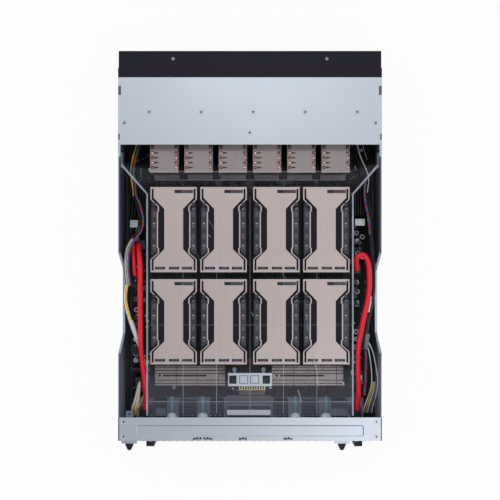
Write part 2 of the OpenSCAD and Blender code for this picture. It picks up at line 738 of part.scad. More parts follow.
module power_supply(i) {
    back = y_rear;
    w = psu_w;
    grille_x = -w / 2 + 21;
    color("#aab1b9") translate([psu_x[i], 0, psu_z]) {
        difference() {
            translate([0, back, psu_h / 2]) along_y(psu_l) polygon(rounded(box_corners(w, psu_h, 1)));
            translate([grille_x, back - 1, psu_h / 2]) along_y(3) intersection() {
                circle(d = 36);
                union() for (a = [-3 : 3]) translate([a * 5 - 1.7, -20]) square([3.4, 40]);
            }
            block([w / 2 - 30, back - 1, psu_h / 2 - 11], [w / 2 - 5, back + 14, psu_h / 2 + 9]);
        }
        psu_latch(back);
        block([w / 2 - 23, back + 4, psu_h / 2 - 2], [w / 2 - 20, back + 14, psu_h / 2 + 1]);
        block([w / 2 - 15, back + 4, psu_h / 2 - 2], [w / 2 - 12, back + 14, psu_h / 2 + 1]);
        block([-24.5, back + psu_l, 14], [24.5, back + psu_l + 11, 16]);
    }
    color("#1c1d20") translate([psu_x[i], back, psu_z + psu_h / 2]) difference() {
        translate([w / 2 - 33.5, 0, 0]) along_x(3) polygon(concat(
            [[0, -16], [0, 16]],
            [for (k = [0 : 6]) [-psu_handle + 6 - 6 * sin(15 * k), 16 - 6 + 6 * cos(15 * k)]],
            [for (k = [0 : 6]) [-psu_handle + 6 - 6 * cos(15 * k), -16 + 6 - 6 * sin(15 * k)]]));
        translate([w / 2 - 34.5, 0, 0]) along_x(5) polygon(rounded([[1, -12, 0], [1, 12, 0],
            [-psu_handle + 3.5, 12, 3], [-psu_handle + 3.5, -12, 3]]));
    }
}

// ---------------------------------------------------------------- sled structure

spacer_xs = [for (i = [-2 : 2]) i * (board_x - 12) / 2];
spacer_ys = [for (i = [0 : 4]) board_rear + 8 + i * (board_front - board_rear - 16) / 4];

module gpu_tray() {
    color("#b3bac3") difference() {
        union() {
            block([-sled_x, panel_y + wall_t, tray_z], [sled_x, tray_front, tray_top]);
            both_sides() block([-sled_x, panel_y + wall_t, tray_z],
                [-sled_x + tray_t, tray_front, tray_z + tray_side_h]);
            for (x = spacer_xs, y = spacer_ys)
                translate([x, y, tray_top - 0.5]) cylinder(d = 7, h = spacer_h + 0.5);
            block([-sled_x, tray_front - tray_t, tray_z], [sled_x, tray_front, tray_z + 14]);
        }
        for (x = spacer_xs, y = spacer_ys) translate([x, y, tray_z - 1]) cylinder(d = 3, h = 20);
        for (x = [-3 : 3]) translate([x * 50 - 12, tray_front - 5, tray_top + 3]) cube([24, 10, 6]);
    }
}

module baseboard() {
    color("#23443a") difference() {
        block([-board_x, board_rear, board_z], [board_x, board_front, board_top]);
        for (x = spacer_xs, y = spacer_ys) translate([x, y, board_z - 1]) cylinder(d = 3.4, h = board_t + 2);
        both_sides() block([-board_x - 1, board_rear + 30, board_z - 1],
            [-board_x + 6, board_rear + 60, board_z + 9]);
    }
}

module sled_rear_panel() {
    h = panel_top - tray_z;
    bay_w = 2 * sled_x;
    drop = 4;
    kept = concat([for (x = lever_xs) [x, lever_pin_z + 26 - tray_z - h / 2 + drop, 13.5, 36]],
        [for (x = handle_xs) [x, lever_pin_z + 21 - tray_z - h / 2 + drop, 7, 32]]);
    color("#aeb6c0") {
        translate([0, panel_y, tray_z + h / 2]) along_y(wall_t) difference() {
            square([bay_w, h], center = true);
            translate([0, -drop]) hex_field(bay_w - 24, h - 26, kept);
        }
        block([-sled_x, panel_y + wall_t, panel_top - wall_t], [sled_x, panel_y + 16, panel_top]);
        both_sides() block([-sled_x, panel_y + wall_t, tray_z + tray_side_h],
            [-sled_x + wall_t, panel_y + 16, panel_top]);
    }
}

module lever_bracket(x) {
    z0 = lever_pin_z - 8;
    z1 = lever_pin_z + lever_l - 4;
    z_flange = lever_pin_z + lever_l + 1.5;
    out = bracket_out - 1;
    translate([x, y_rear, 0]) {
        difference() {
            union() {
                block([-13, 0, z0], [13, 1, z_flange + 1.2]);
                block([-13, -7, z_flange], [13, 1, z_flange + 1.2]);
                for (s = [-1, 1])
                    translate([s * (lever_w / 2 + 1.3) - 0.8, 0, 0]) along_x(1.6)
                        polygon(rounded([[0.5, z0, 0], [0.5, z1, 0], [-4, z1, 2], [-out - 1, z1 - 22, 4],
                            [-out - 1, z0, 4]]));
            }
            translate([-6, 1.5, lever_pin_z + 30]) rotate([90, 0, 0]) cylinder(d = 3.2, h = 4);
        }
        translate([-lever_w / 2 - 3.5, -lever_pin_out, lever_pin_z]) rotate([0, 90, 0])
            cylinder(d = pin_d, h = lever_w + 7);
    }
}

module lever_brackets() {
    color("silver") for (x = lever_xs) lever_bracket(x);
}

module ejector_lever(x) {
    top = lever_l;
    color("#202226") translate([x, y_rear, lever_pin_z]) difference() {
        intersection() {
            translate([-lever_w / 2, 0, 0]) along_x(lever_w)
                polygon(rounded([[-2.4, -4.2, 1.5], [-2.4, top - 8, 3], [-6, top, 1],
                    [-lever_out + 2, top, 1],
                    [-lever_out, top - 3, 1], [-lever_out, top - 6, 1], [-9, top - 7, 3],
                    [-7.5, top - 18, 4], [-8, -4.5, 3]]));
            translate([0, 0, -20]) linear_extrude(lever_l + 40)
                polygon([[-lever_w / 2, 1], [-lever_w / 2, -9], [-2, -lever_out - 1], [2, -lever_out - 1],
                    [lever_w / 2, -9], [lever_w / 2, 1]]);
        }
        translate([-lever_w, -lever_pin_out, 0]) rotate([0, 90, 0])
            cylinder(d = pin_d + 2 * pin_gap, h = 2 * lever_w);
        translate([-lever_w / 2 + 3, -12, 10]) cube([lever_w - 6, 6.5, top - 34]);
    }
}

module pull_handle(x) {
    z0 = lever_pin_z - 10;
    z1 = z0 + 62;
    out = handle_out;
    color("#17181b") translate([x - 6.5, y_rear + 1, 0]) along_x(13) difference() {
        polygon(rounded([[0, z0, 0], [0, z1, 0], [-out - 1, z1, 5], [-out - 1, z0, 5]]));
        polygon(rounded([[-out + 4, z0 + 7, 3], [-out + 4, z1 - 7, 3], [-1.5, z1 - 7, 3],
            [-1.5, z0 + 7, 3]]));
    }
}

module pull_handles() {
    for (x = handle_xs) pull_handle(x);
}

// ---------------------------------------------------------------- accelerator modules

// The raised shoulder beside the waist of a cover, as [x, y, corner radius] from the middle of a module
shoulder_in = gpu_w / 2 - gpu_waist + fit;
shoulder_half = [[gpu_w / 2 - 1.2, -44, 2], [gpu_w / 2 - 1.2, 36, 2], [gpu_w / 2 - 4.5, 39, 2],
    [shoulder_in, 34, 3], [shoulder_in, -37, 3]];
shoulder_h = 1.5;
shoulder_x = gpu_w / 2 - 6;

// The four small windows along a shoulder
module window_row() {
    for (k = [-1.5 : 1.5]) translate([-2.8, k * 18.6 - 6.8]) square([5.6, 9.6]);
}

module gpu_heatsink() {
    base = board_top;
    h = gpu_body_top - base;
    w = gpu_w - 2.3;
    l = gpu_l - 3.7;
    fins = 17;
    fin_pitch = 4.2;
    color("#25272c") difference() {
        union() {
            translate([0, -l / 2, base]) along_y(l) difference() {
                translate([-w / 2, 8]) square([w, h - 8]);
                for (i = [-(fins - 1) / 2 : (fins - 1) / 2])
                    translate([i * fin_pitch - 1.3, 16]) square([2.6, h - 20]);
            }
            for (y = [-40, 40]) block([-30, y - 8, base], [30, y + 8, base + 8.5]);
        }
        for (s = [-1, 1]) {
            translate([s * (gpu_w / 2 - gpu_screw_in), gpu_l / 2 - gpu_screw_back, base + h - 3])
                cylinder(d = gpu_screw_d / 2 + fit, h = 4);
            translate([s * shoulder_x, 0, base + h - 3]) linear_extrude(4) window_row();
        }
    }
    for (s = [-1, 1]) translate([0, 0, base + h]) linear_extrude(shoulder_h) difference() {
        polygon([for (p = rounded(shoulder_half, 3)) [s * p[0], p[1]]]);
        translate([s * shoulder_x, 0]) window_row();
    }
}

module gpu_heatsinks() {
    for (x = gpu_xs, y = gpu_ys) translate([x, y, 0]) gpu_heatsink();
}

// Half outlines of the cover from its rear end to its front end: [distance in from the side, from the rear]
cover_edge = [[0, 0], [0, 21.4], [12.3, 32.4], [12.3, 40.8], [gpu_waist, 40.8], [gpu_waist, 102.4],
    [12.3, 102.4], [12.3, 110.8], [0, 122.7], [0, 143.7]];
cover_plate = [[5.4, 3], [5.4, 20.5], [23.4, 39.1], [23.4, 106.7], [5.4, 125.7], [5.4, 140.7]];

// A waisted outline made of one half outline and its mirror image
function waisted(half) = let (k = gpu_l / 143.7, last = len(half) - 1) concat(
    [for (p = half) [gpu_w / 2 - p[0], p[1] * k - gpu_l / 2]],
    [for (i = [last : -1 : 0]) [half[i][0] - gpu_w / 2, half[i][1] * k - gpu_l / 2]]);

// The outline that runs inside another one all round, by the width of the cover's frame
function frame_inner(half) = [for (i = [0 : len(half) - 1])
    [half[i][0] + gpu_frame_w, i == 0 ? 3 : i == len(half) - 1 ? 140.7 : half[i][1]]];

module gpu_cover(n) {
    x = gpu_xs[n % 4];
    y = gpu_ys[floor(n / 4)];
    groove = gpu_cover_t * 0.6;
    half_l = gpu_l / 2;
    color("#b8aca6") translate([x, y, gpu_body_top]) difference() {
        linear_extrude(gpu_cover_t) polygon(waisted(cover_edge));
        translate([0, 0, gpu_cover_t - groove]) linear_extrude(groove + 1) difference() {
            polygon(waisted(frame_inner(cover_edge)));
            polygon(waisted(cover_plate));
        }
        for (s = [-1, 1]) translate([s * (gpu_w / 2 - gpu_screw_in), half_l - gpu_screw_back, -1])
            cylinder(d = gpu_screw_d + fit, h = gpu_cover_t + 2);
        translate([1.4, half_l - 10.3, -1]) cube([31.5, 5.6, gpu_cover_t + 2]);
        for (wx = [-31.6, -7.9, 14])
            translate([wx, 4.6 - half_l, -1]) cube([17.4, 4.6, gpu_cover_t + 2]);
    }
}

// ---------------------------------------------------------------- switch heatsinks and duct

tip_rows = [8.8, 17.1, 25.3, 33.5];
pipe_in = 3.9;
pipe_fit = 0.1;

function switch_x(i) = (i - (switch_n - 1) / 2) * switch_pitch;

// A drop-shaped hole with its round end at the origin and its point toward +X
module teardrop(d, l) {
    circle(d = d);
    polygon([[0, d / 2], [l, 0], [0, -d / 2]]);
}

module switch_heatsink() {
    base = board_top;
    h = switch_top - base;
    color("#93898a") difference() {
        union() {
            translate([0, 0, base]) along_y(switch_d) difference() {
                translate([-switch_w / 2, 0]) square([switch_w, h]);
                for (i = [-5 : 5]) translate([i * 3.2 - 1, 9]) square([2, h - 12]);
            }
            translate([2 - switch_w / 2, -8, base]) cube([switch_w - 4, 9, 9]);
        }
        for (y = tip_rows, s = [-1, 1]) translate([s * (switch_w / 2 - pipe_in), y, base + 6])
            cylinder(d = pipe_d + 2 * pipe_fit, h = h);
        for (y = tip_rows) translate([-switch_w / 2 + pipe_in + pipe_d / 2 + 2.4, y, base + h - 4])
            linear_extrude(6) teardrop(3.6, 7);
        for (y = tip_rows) translate([switch_w / 2, y + 4, base + h - 8]) cylinder(d = 4.4, h = 12);
        for (s = [-1, 1]) translate([s * (switch_w / 2 - pipe_in), 40, base + h])
            along_y(switch_d - 46) circle(d = pipe_d + 2 * pipe_fit);
    }
}

module switch_heatsinks() {
    for (i = [0 : switch_n - 1]) translate([switch_x(i), switch_rear, 0]) switch_heatsink();
}

module switch_heat_pipes() {
    color("#c88c73") for (i = [0 : switch_n - 1], s = [-1, 1])
        translate([switch_x(i) + s * (switch_w / 2 - pipe_in), switch_rear, 0]) {
            for (y = tip_rows) translate([0, y, board_top + 6])
                cylinder(d = pipe_d, h = switch_top - board_top - 4.6);
            translate([0, 40.5, switch_top]) along_y(switch_d - 47) circle(d = pipe_d);
        }
}

// Plan of one duct wall from the rear to its flared mouth, t thick toward the middle
function duct_plan(t) = [[-duct_x, duct_rear], [-duct_x, duct_bend], [-duct_mouth_x, duct_mouth_y],
    [-duct_mouth_x + t * 1.414, duct_mouth_y], [-duct_x + t, duct_bend], [-duct_x + t, duct_rear]];

module duct_walls() {
    low = board_top;
    mouth_low = duct_z - 30;
    hole_top = duct_z - 16;
    color("#aebfd6") both_sides() {
        difference() {
            translate([0, 0, low]) linear_extrude(duct_z - low) polygon(duct_plan(duct_t));
            block([-x_wall, duct_bend + 3, low - 1], [-duct_x + 20, duct_mouth_y + 2, mouth_low]);
            block([-duct_x - 2, duct_rear - 1, low - 1], [-duct_x + 4, duct_rear + 44, hole_top]);
        }
    }
}

module air_duct() {
    color("#aebfd6") {
        translate([0, 0, duct_z]) linear_extrude(duct_t) polygon([
            [-duct_x - duct_flange + duct_t, duct_rear], [-duct_x - duct_flange + duct_t, duct_bend + 2],
            [-duct_mouth_x, duct_mouth_y], [-duct_mouth_x + 8, duct_mouth_y], [-duct_x + 14, duct_front],
            [duct_x - 14, duct_front], [duct_mouth_x - 8, duct_mouth_y], [duct_mouth_x, duct_mouth_y],
            [duct_x + duct_flange - duct_t, duct_bend + 2], [duct_x + duct_flange - duct_t, duct_rear]]);
        for (x = [-112, -56, 0, 56, 112])
            block([x - 1.2, duct_rear + 6, duct_z - 1.6], [x + 1.2, duct_bend, duct_z]);
        for (d = [30, 152.5])
            block([-duct_x + duct_t, duct_rear + d - 1.2, duct_z - 1.6],
                [duct_x - duct_t, duct_rear + d + 1.2, duct_z]);
        block([-duct_x + 14, duct_front - 15.6, duct_z - 1.6], [duct_x - 14, duct_front - 13.2, duct_z]);
    }
}

// ---------------------------------------------------------------- rear zone and side channels

pcie_blocks = [[-103.5, 121], [99.5, 123]];
pcie_top = body_h - 80;

module pcie_heatsinks() {
    depth = 34;
    groove_w = 1.3;
    groove_pitch = 5.6;
    slot_x = 14;
    slot_w = 3;
    slot_y = depth / 2 - slot_w / 2;
    color("#6b5a50") for (b = pcie_blocks) translate([b[0] - b[1] / 2, y_rear + 84, board_top]) difference() {
        cube([b[1], depth, pcie_top - board_top]);
        for (y = [3 : groove_pitch : depth - 3])
            if (abs(y + groove_w / 2 - depth / 2) > slot_w)
                translate([-1, y, 8]) cube([b[1] + 2, groove_w, pcie_top]);
        translate([slot_x, slot_y, 8]) cube([b[1] * 0.62, slot_w, pcie_top]);
        translate([slot_x - 6, depth / 2, 8]) cylinder(d = slot_w + 1, h = pcie_top);
        for (x = [b[1] * 0.3, b[1] * 0.6, b[1] * 0.9])
            translate([x, -1, pcie_top - board_top - 5]) cube([groove_w, depth + 2, 6]);
    }
}

module cable_bridge() {
    y0 = y_rear + 89;
    z = body_h - 20;
    color("#bfc6cf") {
        difference() {
            block([-37, y0, z - 1.2], [37, y0 + 22, z]);
            for (x = [-29, 27.5]) block([x - 6.3, y0 + 4, z - 3], [x + 6.3, y0 + 18, z + 1]);
            for (x = [-10.7, 8]) block([x - 7.2, y0 + 4, z - 0.6], [x + 7.2, y0 + 18, z + 1]);
        }
        for (x = [-10.7, 8]) block([x - 6.2, y0 + 5, z - 0.8], [x + 6.2, y0 + 17, z + 0.4]);
        for (s = [-1, 1]) block([s * 36.4 - 0.6, y0, board_top], [s * 36.4 + 0.6, y0 + 22, z]);
        for (x = [-26, 22.6]) translate([x, y0 + 28, z - 1.2]) {
            cylinder(d = 7, h = 1.2);
            block([-2, -7, 0], [2, 0, 1.2]);
        }
    }
}

// Upright parts on the side strips of the baseboard:
// [side, distance in from the wall, distance from the rear, width, length, height]
side_blocks = [[-1, 20.3, 363, 13, 12, 62], [1, 30.8, 365.5, 16, 11, 62], [-1, 24.3, 327, 29, 14, 60],
    [1, 36.8, 285, 14, 14, 62], [-1, 28.8, 90, 14, 18, 46],
    [1, 24.8, 158, 12, 22, 52], [-1, 21.8, 146, 14, 14, 44], [-1, 25.8, 112, 22, 5, 40]];
// The sockets of the red cables behind the baseboard, in the same form but standing on the tray
red_sockets = [[-1, 38.8, 38, 16, 14, 84], [1, 36.8, 38, 16, 14, 84]];
// Rows of upright ribs: [side, distance in from the wall, distance from the rear, width, length]
rib_rows = [[-1, 25.3, 369, 29, 69], [1, 30.3, 371, 15, 54]];

// One upright socket that stands on the height z
module side_block(b, z) {
    socket_wall = 1.8;
    translate([b[0] * (x_in - b[1]) - b[3] / 2, y_rear + b[2] - b[4] / 2, z]) difference() {
        cube([b[3], b[4], b[5]]);
        translate([socket_wall, socket_wall, b[5] - 6])
            cube([b[3] - 2 * socket_wall, b[4] - 2 * socket_wall, 7]);
    }
}

// A row of upright ribs on a low block
module rib_row(r) {
    rib_pitch = 4.5;
    translate([r[0] * (x_in - r[1]) - r[3] / 2, y_rear + r[2] + 7, board_top]) {
        cube([r[3], r[4] - 7, 20]);
        for (x = [0 : rib_pitch : r[3] - 1.5]) translate([x, 0, 0]) cube([1.5, r[4] - 7, 44]);
    }
}

module side_connectors() {
    color("#9ca2a8") {
        for (b = side_blocks) side_block(b, board_top);
        for (b = red_sockets) side_block(b, tray_top);
    }
    color("#1c1d22") for (r = rib_rows) rib_row(r);
}

module board_parts() {
    color("#2d3036") {
        for (x = [28.8, 37.8], y = [320, 331])
            translate([x_in - x, y_rear + y, board_top]) cylinder(d = 8, h = 30);
        for (i = [0 : 3]) translate([x_in - 35.8, y_rear + 262 - i * 12, board_top]) cylinder(d = 8, h = 30);
        for (i = [0 : 3]) translate([21.8 - x_in, y_rear + 165 + i * 12, board_top]) cylinder(d = 9, h = 28);
    }
    color("#c88c73") {
        block([-19, y_rear + 68, board_top], [26, y_rear + 78, board_top + 40]);
        for (x = [-19 : 4.3 : 24])
            block([x, y_rear + 77, board_top + 10], [x + 2, y_rear + 87, board_top + 50]);
    }
    color("#dfe3e6") block([-40, y_rear + 61, board_top], [36, y_rear + 66, board_top + 34]);
    color("#4f6f7c") for (x = [-134.7, -81.2, 78.1, 130.9])
        translate([x, panel_y + wall_t, body_h - 71]) {
            along_y(64) circle(d = 8);
            along_y(2) circle(d = 24);
            translate([0, 27, 0]) rotate([-90, 0, 0]) cylinder(d1 = 20, d2 = 10, h = 10);
        }
}

module sled_screws() {
    color("#d5d9de") {
        for (x = gpu_xs, y = gpu_ys, s = [-1, 1])
            translate([x + s * (gpu_w / 2 - gpu_screw_in), y + gpu_l / 2 - gpu_screw_back,
                    gpu_body_top + gpu_screw_h])
                screw(gpu_screw_d, gpu_screw_h, gpu_screw_d / 2, 2.6);
        translate([-sled_x + 14, y_rear + 350, tray_top]) cylinder(d = 9, h = 0.5);
    }
}

module power_cable_left() {
    color("#e0283c") at_routes() {
        cord(red_left, red_d, 10, 2);
        cord(red_stub, red_d * 0.8, 8, 1);
    }
}

module power_cable_right() {
    color("#e0283c") at_routes() cord(red_right, red_d, 10, 2);
}

module loom_left() {
    color("#7d7a5a") at_routes() {
        cord(loom_left_main, 11, 8, 1);
        cord(loom_left_side, 7, 8, 1);
        cord(loom_left_rear, 6, 8, 1);
    }
}

module loom_right() {
    color("#3a3b42") at_routes() {
        cord(loom_right_main, 11, 8, 1);
        cord(loom_right_rear, 6, 8, 1);
    }
}

module chassis_screws() {
    color("#6c7178") {
        for (p = cover_screws) translate([p[0], y_front - p[1], body_h]) screw(head_d, head_h, shank_d, 5);
        for (s = [-1, 1])
            translate([s * frame_screw_x, y_front - 13, body_h]) screw(head_d, head_h, shank_d, 5);
        for (p = bridge_screws) translate([p[0], y_rear + p[1], body_h]) screw(head_d - 1, rib_h, shank_d, 4);
    }
}

chassis_tub();
side_liners();
front_frame();
front_grille();
top_cover();
rear_bridge();
mid_deck();
fan_cage();
fan_housings();
chassis_screws();
mainboard();
cpu_heatsinks();
memory_modules();
rear_io_panel();
io_ports();
power_board();
power_button();
for (i = [1 : fan_count]) fan_rotor(i - 1);
for (i = [1 : 4]) power_supply(i - 1);
gpu_tray();
baseboard();
gpu_heatsinks();
for (i = [1 : 8]) gpu_cover(i - 1);
switch_heatsinks();
switch_heat_pipes();
air_duct();
duct_walls();
sled_rear_panel();
ejector_lever(lever_xs[0]);  // ejector_lever_left
ejector_lever(lever_xs[1]);  // ejector_lever_right
lever_brackets();
pull_handles();
pcie_heatsinks();
cable_bridge();
side_connectors();
board_parts();
sled_screws();
power_cable_left();
power_cable_right();
loom_left();
loom_right();
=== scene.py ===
"""Four-unit GPU server seen from above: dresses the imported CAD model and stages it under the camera."""

import math
import random

import bpy
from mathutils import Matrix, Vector


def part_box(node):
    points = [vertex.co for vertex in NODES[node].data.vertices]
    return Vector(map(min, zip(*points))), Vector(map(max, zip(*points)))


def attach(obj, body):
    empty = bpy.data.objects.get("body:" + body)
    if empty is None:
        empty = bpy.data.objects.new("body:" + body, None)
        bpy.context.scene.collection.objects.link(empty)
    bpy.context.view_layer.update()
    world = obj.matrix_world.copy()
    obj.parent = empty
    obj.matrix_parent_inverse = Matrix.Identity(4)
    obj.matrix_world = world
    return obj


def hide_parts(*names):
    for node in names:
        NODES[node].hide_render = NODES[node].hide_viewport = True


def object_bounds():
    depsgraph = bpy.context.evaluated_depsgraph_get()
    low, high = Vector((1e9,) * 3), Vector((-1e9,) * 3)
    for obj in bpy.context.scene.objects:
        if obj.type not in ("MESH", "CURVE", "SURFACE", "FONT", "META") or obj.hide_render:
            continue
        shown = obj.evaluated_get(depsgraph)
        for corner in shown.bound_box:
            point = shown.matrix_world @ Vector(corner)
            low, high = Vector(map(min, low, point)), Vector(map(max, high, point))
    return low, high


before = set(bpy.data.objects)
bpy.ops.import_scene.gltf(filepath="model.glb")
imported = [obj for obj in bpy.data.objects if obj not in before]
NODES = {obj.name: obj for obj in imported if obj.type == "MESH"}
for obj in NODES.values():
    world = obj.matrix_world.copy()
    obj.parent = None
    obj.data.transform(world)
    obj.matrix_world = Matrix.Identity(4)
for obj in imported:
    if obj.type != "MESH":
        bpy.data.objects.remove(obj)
cad_low, cad_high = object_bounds()

MM = 0.001
SLED = "gpu_sled"
CAMERA_HEIGHT = 2.2
ON_AXIS = 1e-6
POWER_SUPPLIES = [f"power_supply_{i}" for i in range(1, 5)]

COVER_LOW, COVER_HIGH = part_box("top_cover")
TUB_LOW, TUB_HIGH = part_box("chassis_tub")
BRIDGE_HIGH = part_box("rear_bridge")[1]
MODULE_LOW, MODULE_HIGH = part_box("gpu_cover_1")
TOP = COVER_HIGH.z
REAR = TUB_LOW.y
FRONT = cad_high.y
MIDDLE_Y = (REAR + FRONT) / 2
MODULES_Y = (MODULE_LOW.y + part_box("gpu_cover_5")[1].y) / 2
MODULE_GROOVE = MODULE_HIGH.z - 0.9 * MM

# Measures in millimetres, as at() takes them.
BOARD_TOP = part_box("baseboard")[1].z / MM
BRIDGE_TOP = BRIDGE_HIGH.z / MM
BRIDGE_FRONT = (BRIDGE_HIGH.y - REAR) / MM
BRIDGE_SCREWS = (6.7, 31.5)
MODULE_X = (-128.8, -44.6, 44.6, 128.8)
MODULE_Y = (197.05, 352.45)
WINDOW_PITCH = 18.6
SWITCH_PITCH = 58.1
SCREW_PITCH = 86.8
FAR = 99


# ---- materials


class Shader:
    """A material under construction: a Principled shader and the nodes that feed it."""

    def __init__(self, name, base, rough, metal=0.0, spec=0.5):
        self.base = base
        self.material = bpy.data.materials.new(name)
        self.material.use_nodes = True
        self.tree = self.material.node_tree
        self.bsdf = self.tree.nodes["Principled BSDF"]
        self.surface(Base_Color=(*base, 1), Roughness=rough, Metallic=metal, Specular_IOR_Level=spec)
        self.coords = self.node("TexCoord").outputs["Object"]

    def node(self, kind, **settings):
        made = self.tree.nodes.new("ShaderNode" + kind)
        for key, value in settings.items():
            setattr(made, key, value)
        return made

    def put(self, value, socket):
        if isinstance(value, bpy.types.NodeSocket):
            self.tree.links.new(value, socket)
        else:
            socket.default_value = value

    def feed(self, node, **inputs):
        """Sets or links inputs of a node, which are named with _ for a space."""
        for key, value in inputs.items():
            self.put(value, node.inputs[key.replace("_", " ")])
        return node

    def surface(self, **inputs):
        self.feed(self.bsdf, **inputs)

    def noise(self, scale, detail=3, rough=0.6, stretch=(1, 1, 1), distort=0.0):
        mapping = self.feed(self.node("Mapping"), Scale=stretch, Vector=self.coords)
        made = self.feed(self.node("TexNoise"), Scale=scale, Detail=detail, Roughness=rough,
                         Distortion=distort, Vector=mapping.outputs["Vector"])
        return made.outputs["Fac"]

    def lines(self, pitch, axis):
        """Bright lines a fixed pitch apart, across one axis."""
        made = self.node("TexWave", wave_type="BANDS", bands_direction=axis, wave_profile="SIN")
        self.feed(made, Scale=math.pi / (10 * pitch), Vector=self.coords)
        return made.outputs["Fac"]

    def math(self, operation, result, *others):
        """Joins numbers or sockets, one after the other, by one operation."""
        for other in others:
            made = self.node("Math", operation=operation)
            self.put(result, made.inputs[0])
            self.put(other, made.inputs[1])
            result = made.outputs[0]
        return result

    def above(self, value, limit):
        return self.math("GREATER_THAN", value, limit)

    def below(self, value, limit):
        return self.math("LESS_THAN", value, limit)

    def along(self, axis):
        return self.feed(self.node("SeparateXYZ"), Vector=self.coords).outputs[axis]

    def mix(self, amount, *pair):
        """Blends two colours; each is a socket, a colour or a share of the base colour."""
        made = self.node("Mix", data_type="RGBA")
        self.put(amount, made.inputs[0])
        for color, socket in zip(pair, made.inputs[6:8]):
            if isinstance(color, float):
                color = tuple(c * color for c in self.base)
            self.put((*color, 1) if isinstance(color, tuple) else color, socket)
        return made.outputs[2]

    def spread(self, value, low, high, start=0.0, stop=1.0):
        """Takes a value that runs from start to stop to the range from low to high."""
        made = self.node("MapRange")
        self.feed(made, Value=value, From_Min=start, From_Max=stop, To_Min=low, To_Max=high)
        return made.outputs["Result"]

    def rough(self, value, low, high):
        self.surface(Roughness=self.spread(value, low, high))

    def bump(self, value, depth, strength):
        """Relief of a depth in millimetres."""
        made = self.feed(self.node("Bump"), Strength=strength, Distance=depth * MM, Height=value)
        self.surface(Normal=made.outputs["Normal"])


def grained(name, base, rough, metal=0.0, spec=0.5, *, grain, shades, roughs, tint=None, gloss=None,
            contrast=None, stain=None, depth=0.04, strength=0.4):
    """A grained finish, whose shade and gloss follow the grain or a noise of their own (tint, gloss)."""
    s = Shader(name, base, rough, metal, spec)
    fine = s.noise(*grain)
    cloud = s.noise(*gloss) if gloss else fine
    amount = s.noise(*tint) if tint else fine
    if contrast:
        amount = s.spread(amount, *contrast)
    tone = s.mix(amount, *shades)
    if stain:
        tone = s.mix(s.spread(cloud, 0.0, stain[0]), tone, stain[1])
    s.surface(Base_Color=tone)
    s.rough(cloud, *roughs)
    if depth:
        s.bump(fine, depth, strength)
    return s.material


def plated(name, base, rough):
    return grained(name, base, rough, 0.9, grain=(800, 3, 0.6), gloss=(90, 3), shades=(0.85, 1.1),
                   roughs=(max(rough - 0.1, 0.08), rough + 0.1), depth=0.03)


def flat_paint(name, base, rough):
    return grained(name, base, rough, grain=(700, 3, 0.6), gloss=(50, 3), shades=(0.88, 1.08),
                   roughs=(rough - 0.08, rough + 0.08))


def jacket(name, base, rough, ribs=0.0, spec=0.5):
    """The plastic sleeve of a wire or cable; ribs is the pitch of a corrugated one."""
    s = Shader(name, base, rough, 0.0, spec)
    soft = s.noise(60, 3, 0.6)
    s.surface(Base_Color=s.mix(soft, 0.82, 1.12))
    s.rough(soft, rough - 0.06, rough + 0.1)
    if ribs:
        s.bump(s.lines(ribs, "Y"), 0.6, 0.9)
    else:
        s.bump(s.noise(600, 2), 0.05, 0.3)
    return s.material


def tub_steel():
    """Zinc steel, with the dark film that folds over the lips of the walls."""
    s = Shader("tub_steel", (0.40, 0.45, 0.53), 0.42, 0.75)
    speckle = s.noise(800, 4, 0.7)
    steel = s.mix(s.spread(speckle, 0.2, 0.8), 0.92, 1.07)
    across, y, z = s.math("ABSOLUTE", s.along("X"), 0.0), s.along("Y"), s.along("Z")
    side, top = TUB_HIGH.x, TUB_HIGH.z
    on_lip = s.math("MULTIPLY", s.below(across, side - 1.5 * MM), s.above(across, side - 4.2 * MM),
                    s.above(z, top - 3 * MM), s.below(y, COVER_LOW.y - 20 * MM))
    beside_bridge = s.math("MULTIPLY", s.below(y, BRIDGE_HIGH.y), s.above(z, top - 2.5 * MM),
                           s.above(across, BRIDGE_HIGH.x))
    film = s.math("MAXIMUM", on_lip, beside_bridge)
    s.surface(Base_Color=s.mix(film, steel, (0.030, 0.034, 0.052)), Metallic=s.spread(film, 0.75, 0.0))
    s.rough(s.noise(16, 3), 0.36, 0.5)
    s.bump(speckle, 0.06, 0.5)
    return s.material


def liner_film():
    """Insulating film, with a painted sheen that makes it paler behind the modules."""
    s = Shader("liner_film", (0.125, 0.135, 0.175), 0.34)
    wave = s.noise(7, 2, 0.5, (1, 1, 2.2))
    # Painted sheen: the film turns pale blue-grey behind the modules.
    rear_sheen = s.spread(s.along("Y"), 0.0, 1.0, MODULES_Y + 0.05, MODULES_Y - 0.16)
    front_tone = s.mix(wave, 0.6, (0.17, 0.185, 0.24))
    s.surface(Base_Color=s.mix(rear_sheen, front_tone, s.mix(wave, (0.24, 0.28, 0.37), (0.40, 0.46, 0.60))))
    s.rough(wave, 0.28, 0.46)
    s.bump(wave, 1.2, 0.35)
    return s.material


def champagne_plate():
    """Brushed plate with faint pressed lines, black where its face is cut away."""
    s = Shader("champagne_plate", (0.525, 0.444, 0.434), 0.4, 0.45, 0.08)
    brush = s.noise(420, 4, 0.7, (1, 0.012, 1))
    tone = s.mix(brush, 0.9, 1.08)
    broad = s.noise(24, 3, 0.6, (1, 0.35, 1))
    tone = s.mix(s.spread(broad, 0.0, 0.35), tone, (0.54, 0.455, 0.425))
    pressed = s.above(s.lines(2.6 * MM, "X"), 0.7)
    tone = s.mix(s.math("MULTIPLY", pressed, 0.42), tone, 0.66)
    cut = s.below(s.along("Z"), MODULE_GROOVE)
    s.surface(Base_Color=s.mix(cut, tone, (0.0078, 0.0076, 0.0125)), Metallic=s.spread(cut, 0.45, 0.1))
    s.rough(brush, 0.34, 0.48)
    s.bump(brush, 0.03, 0.35)
    return s.material


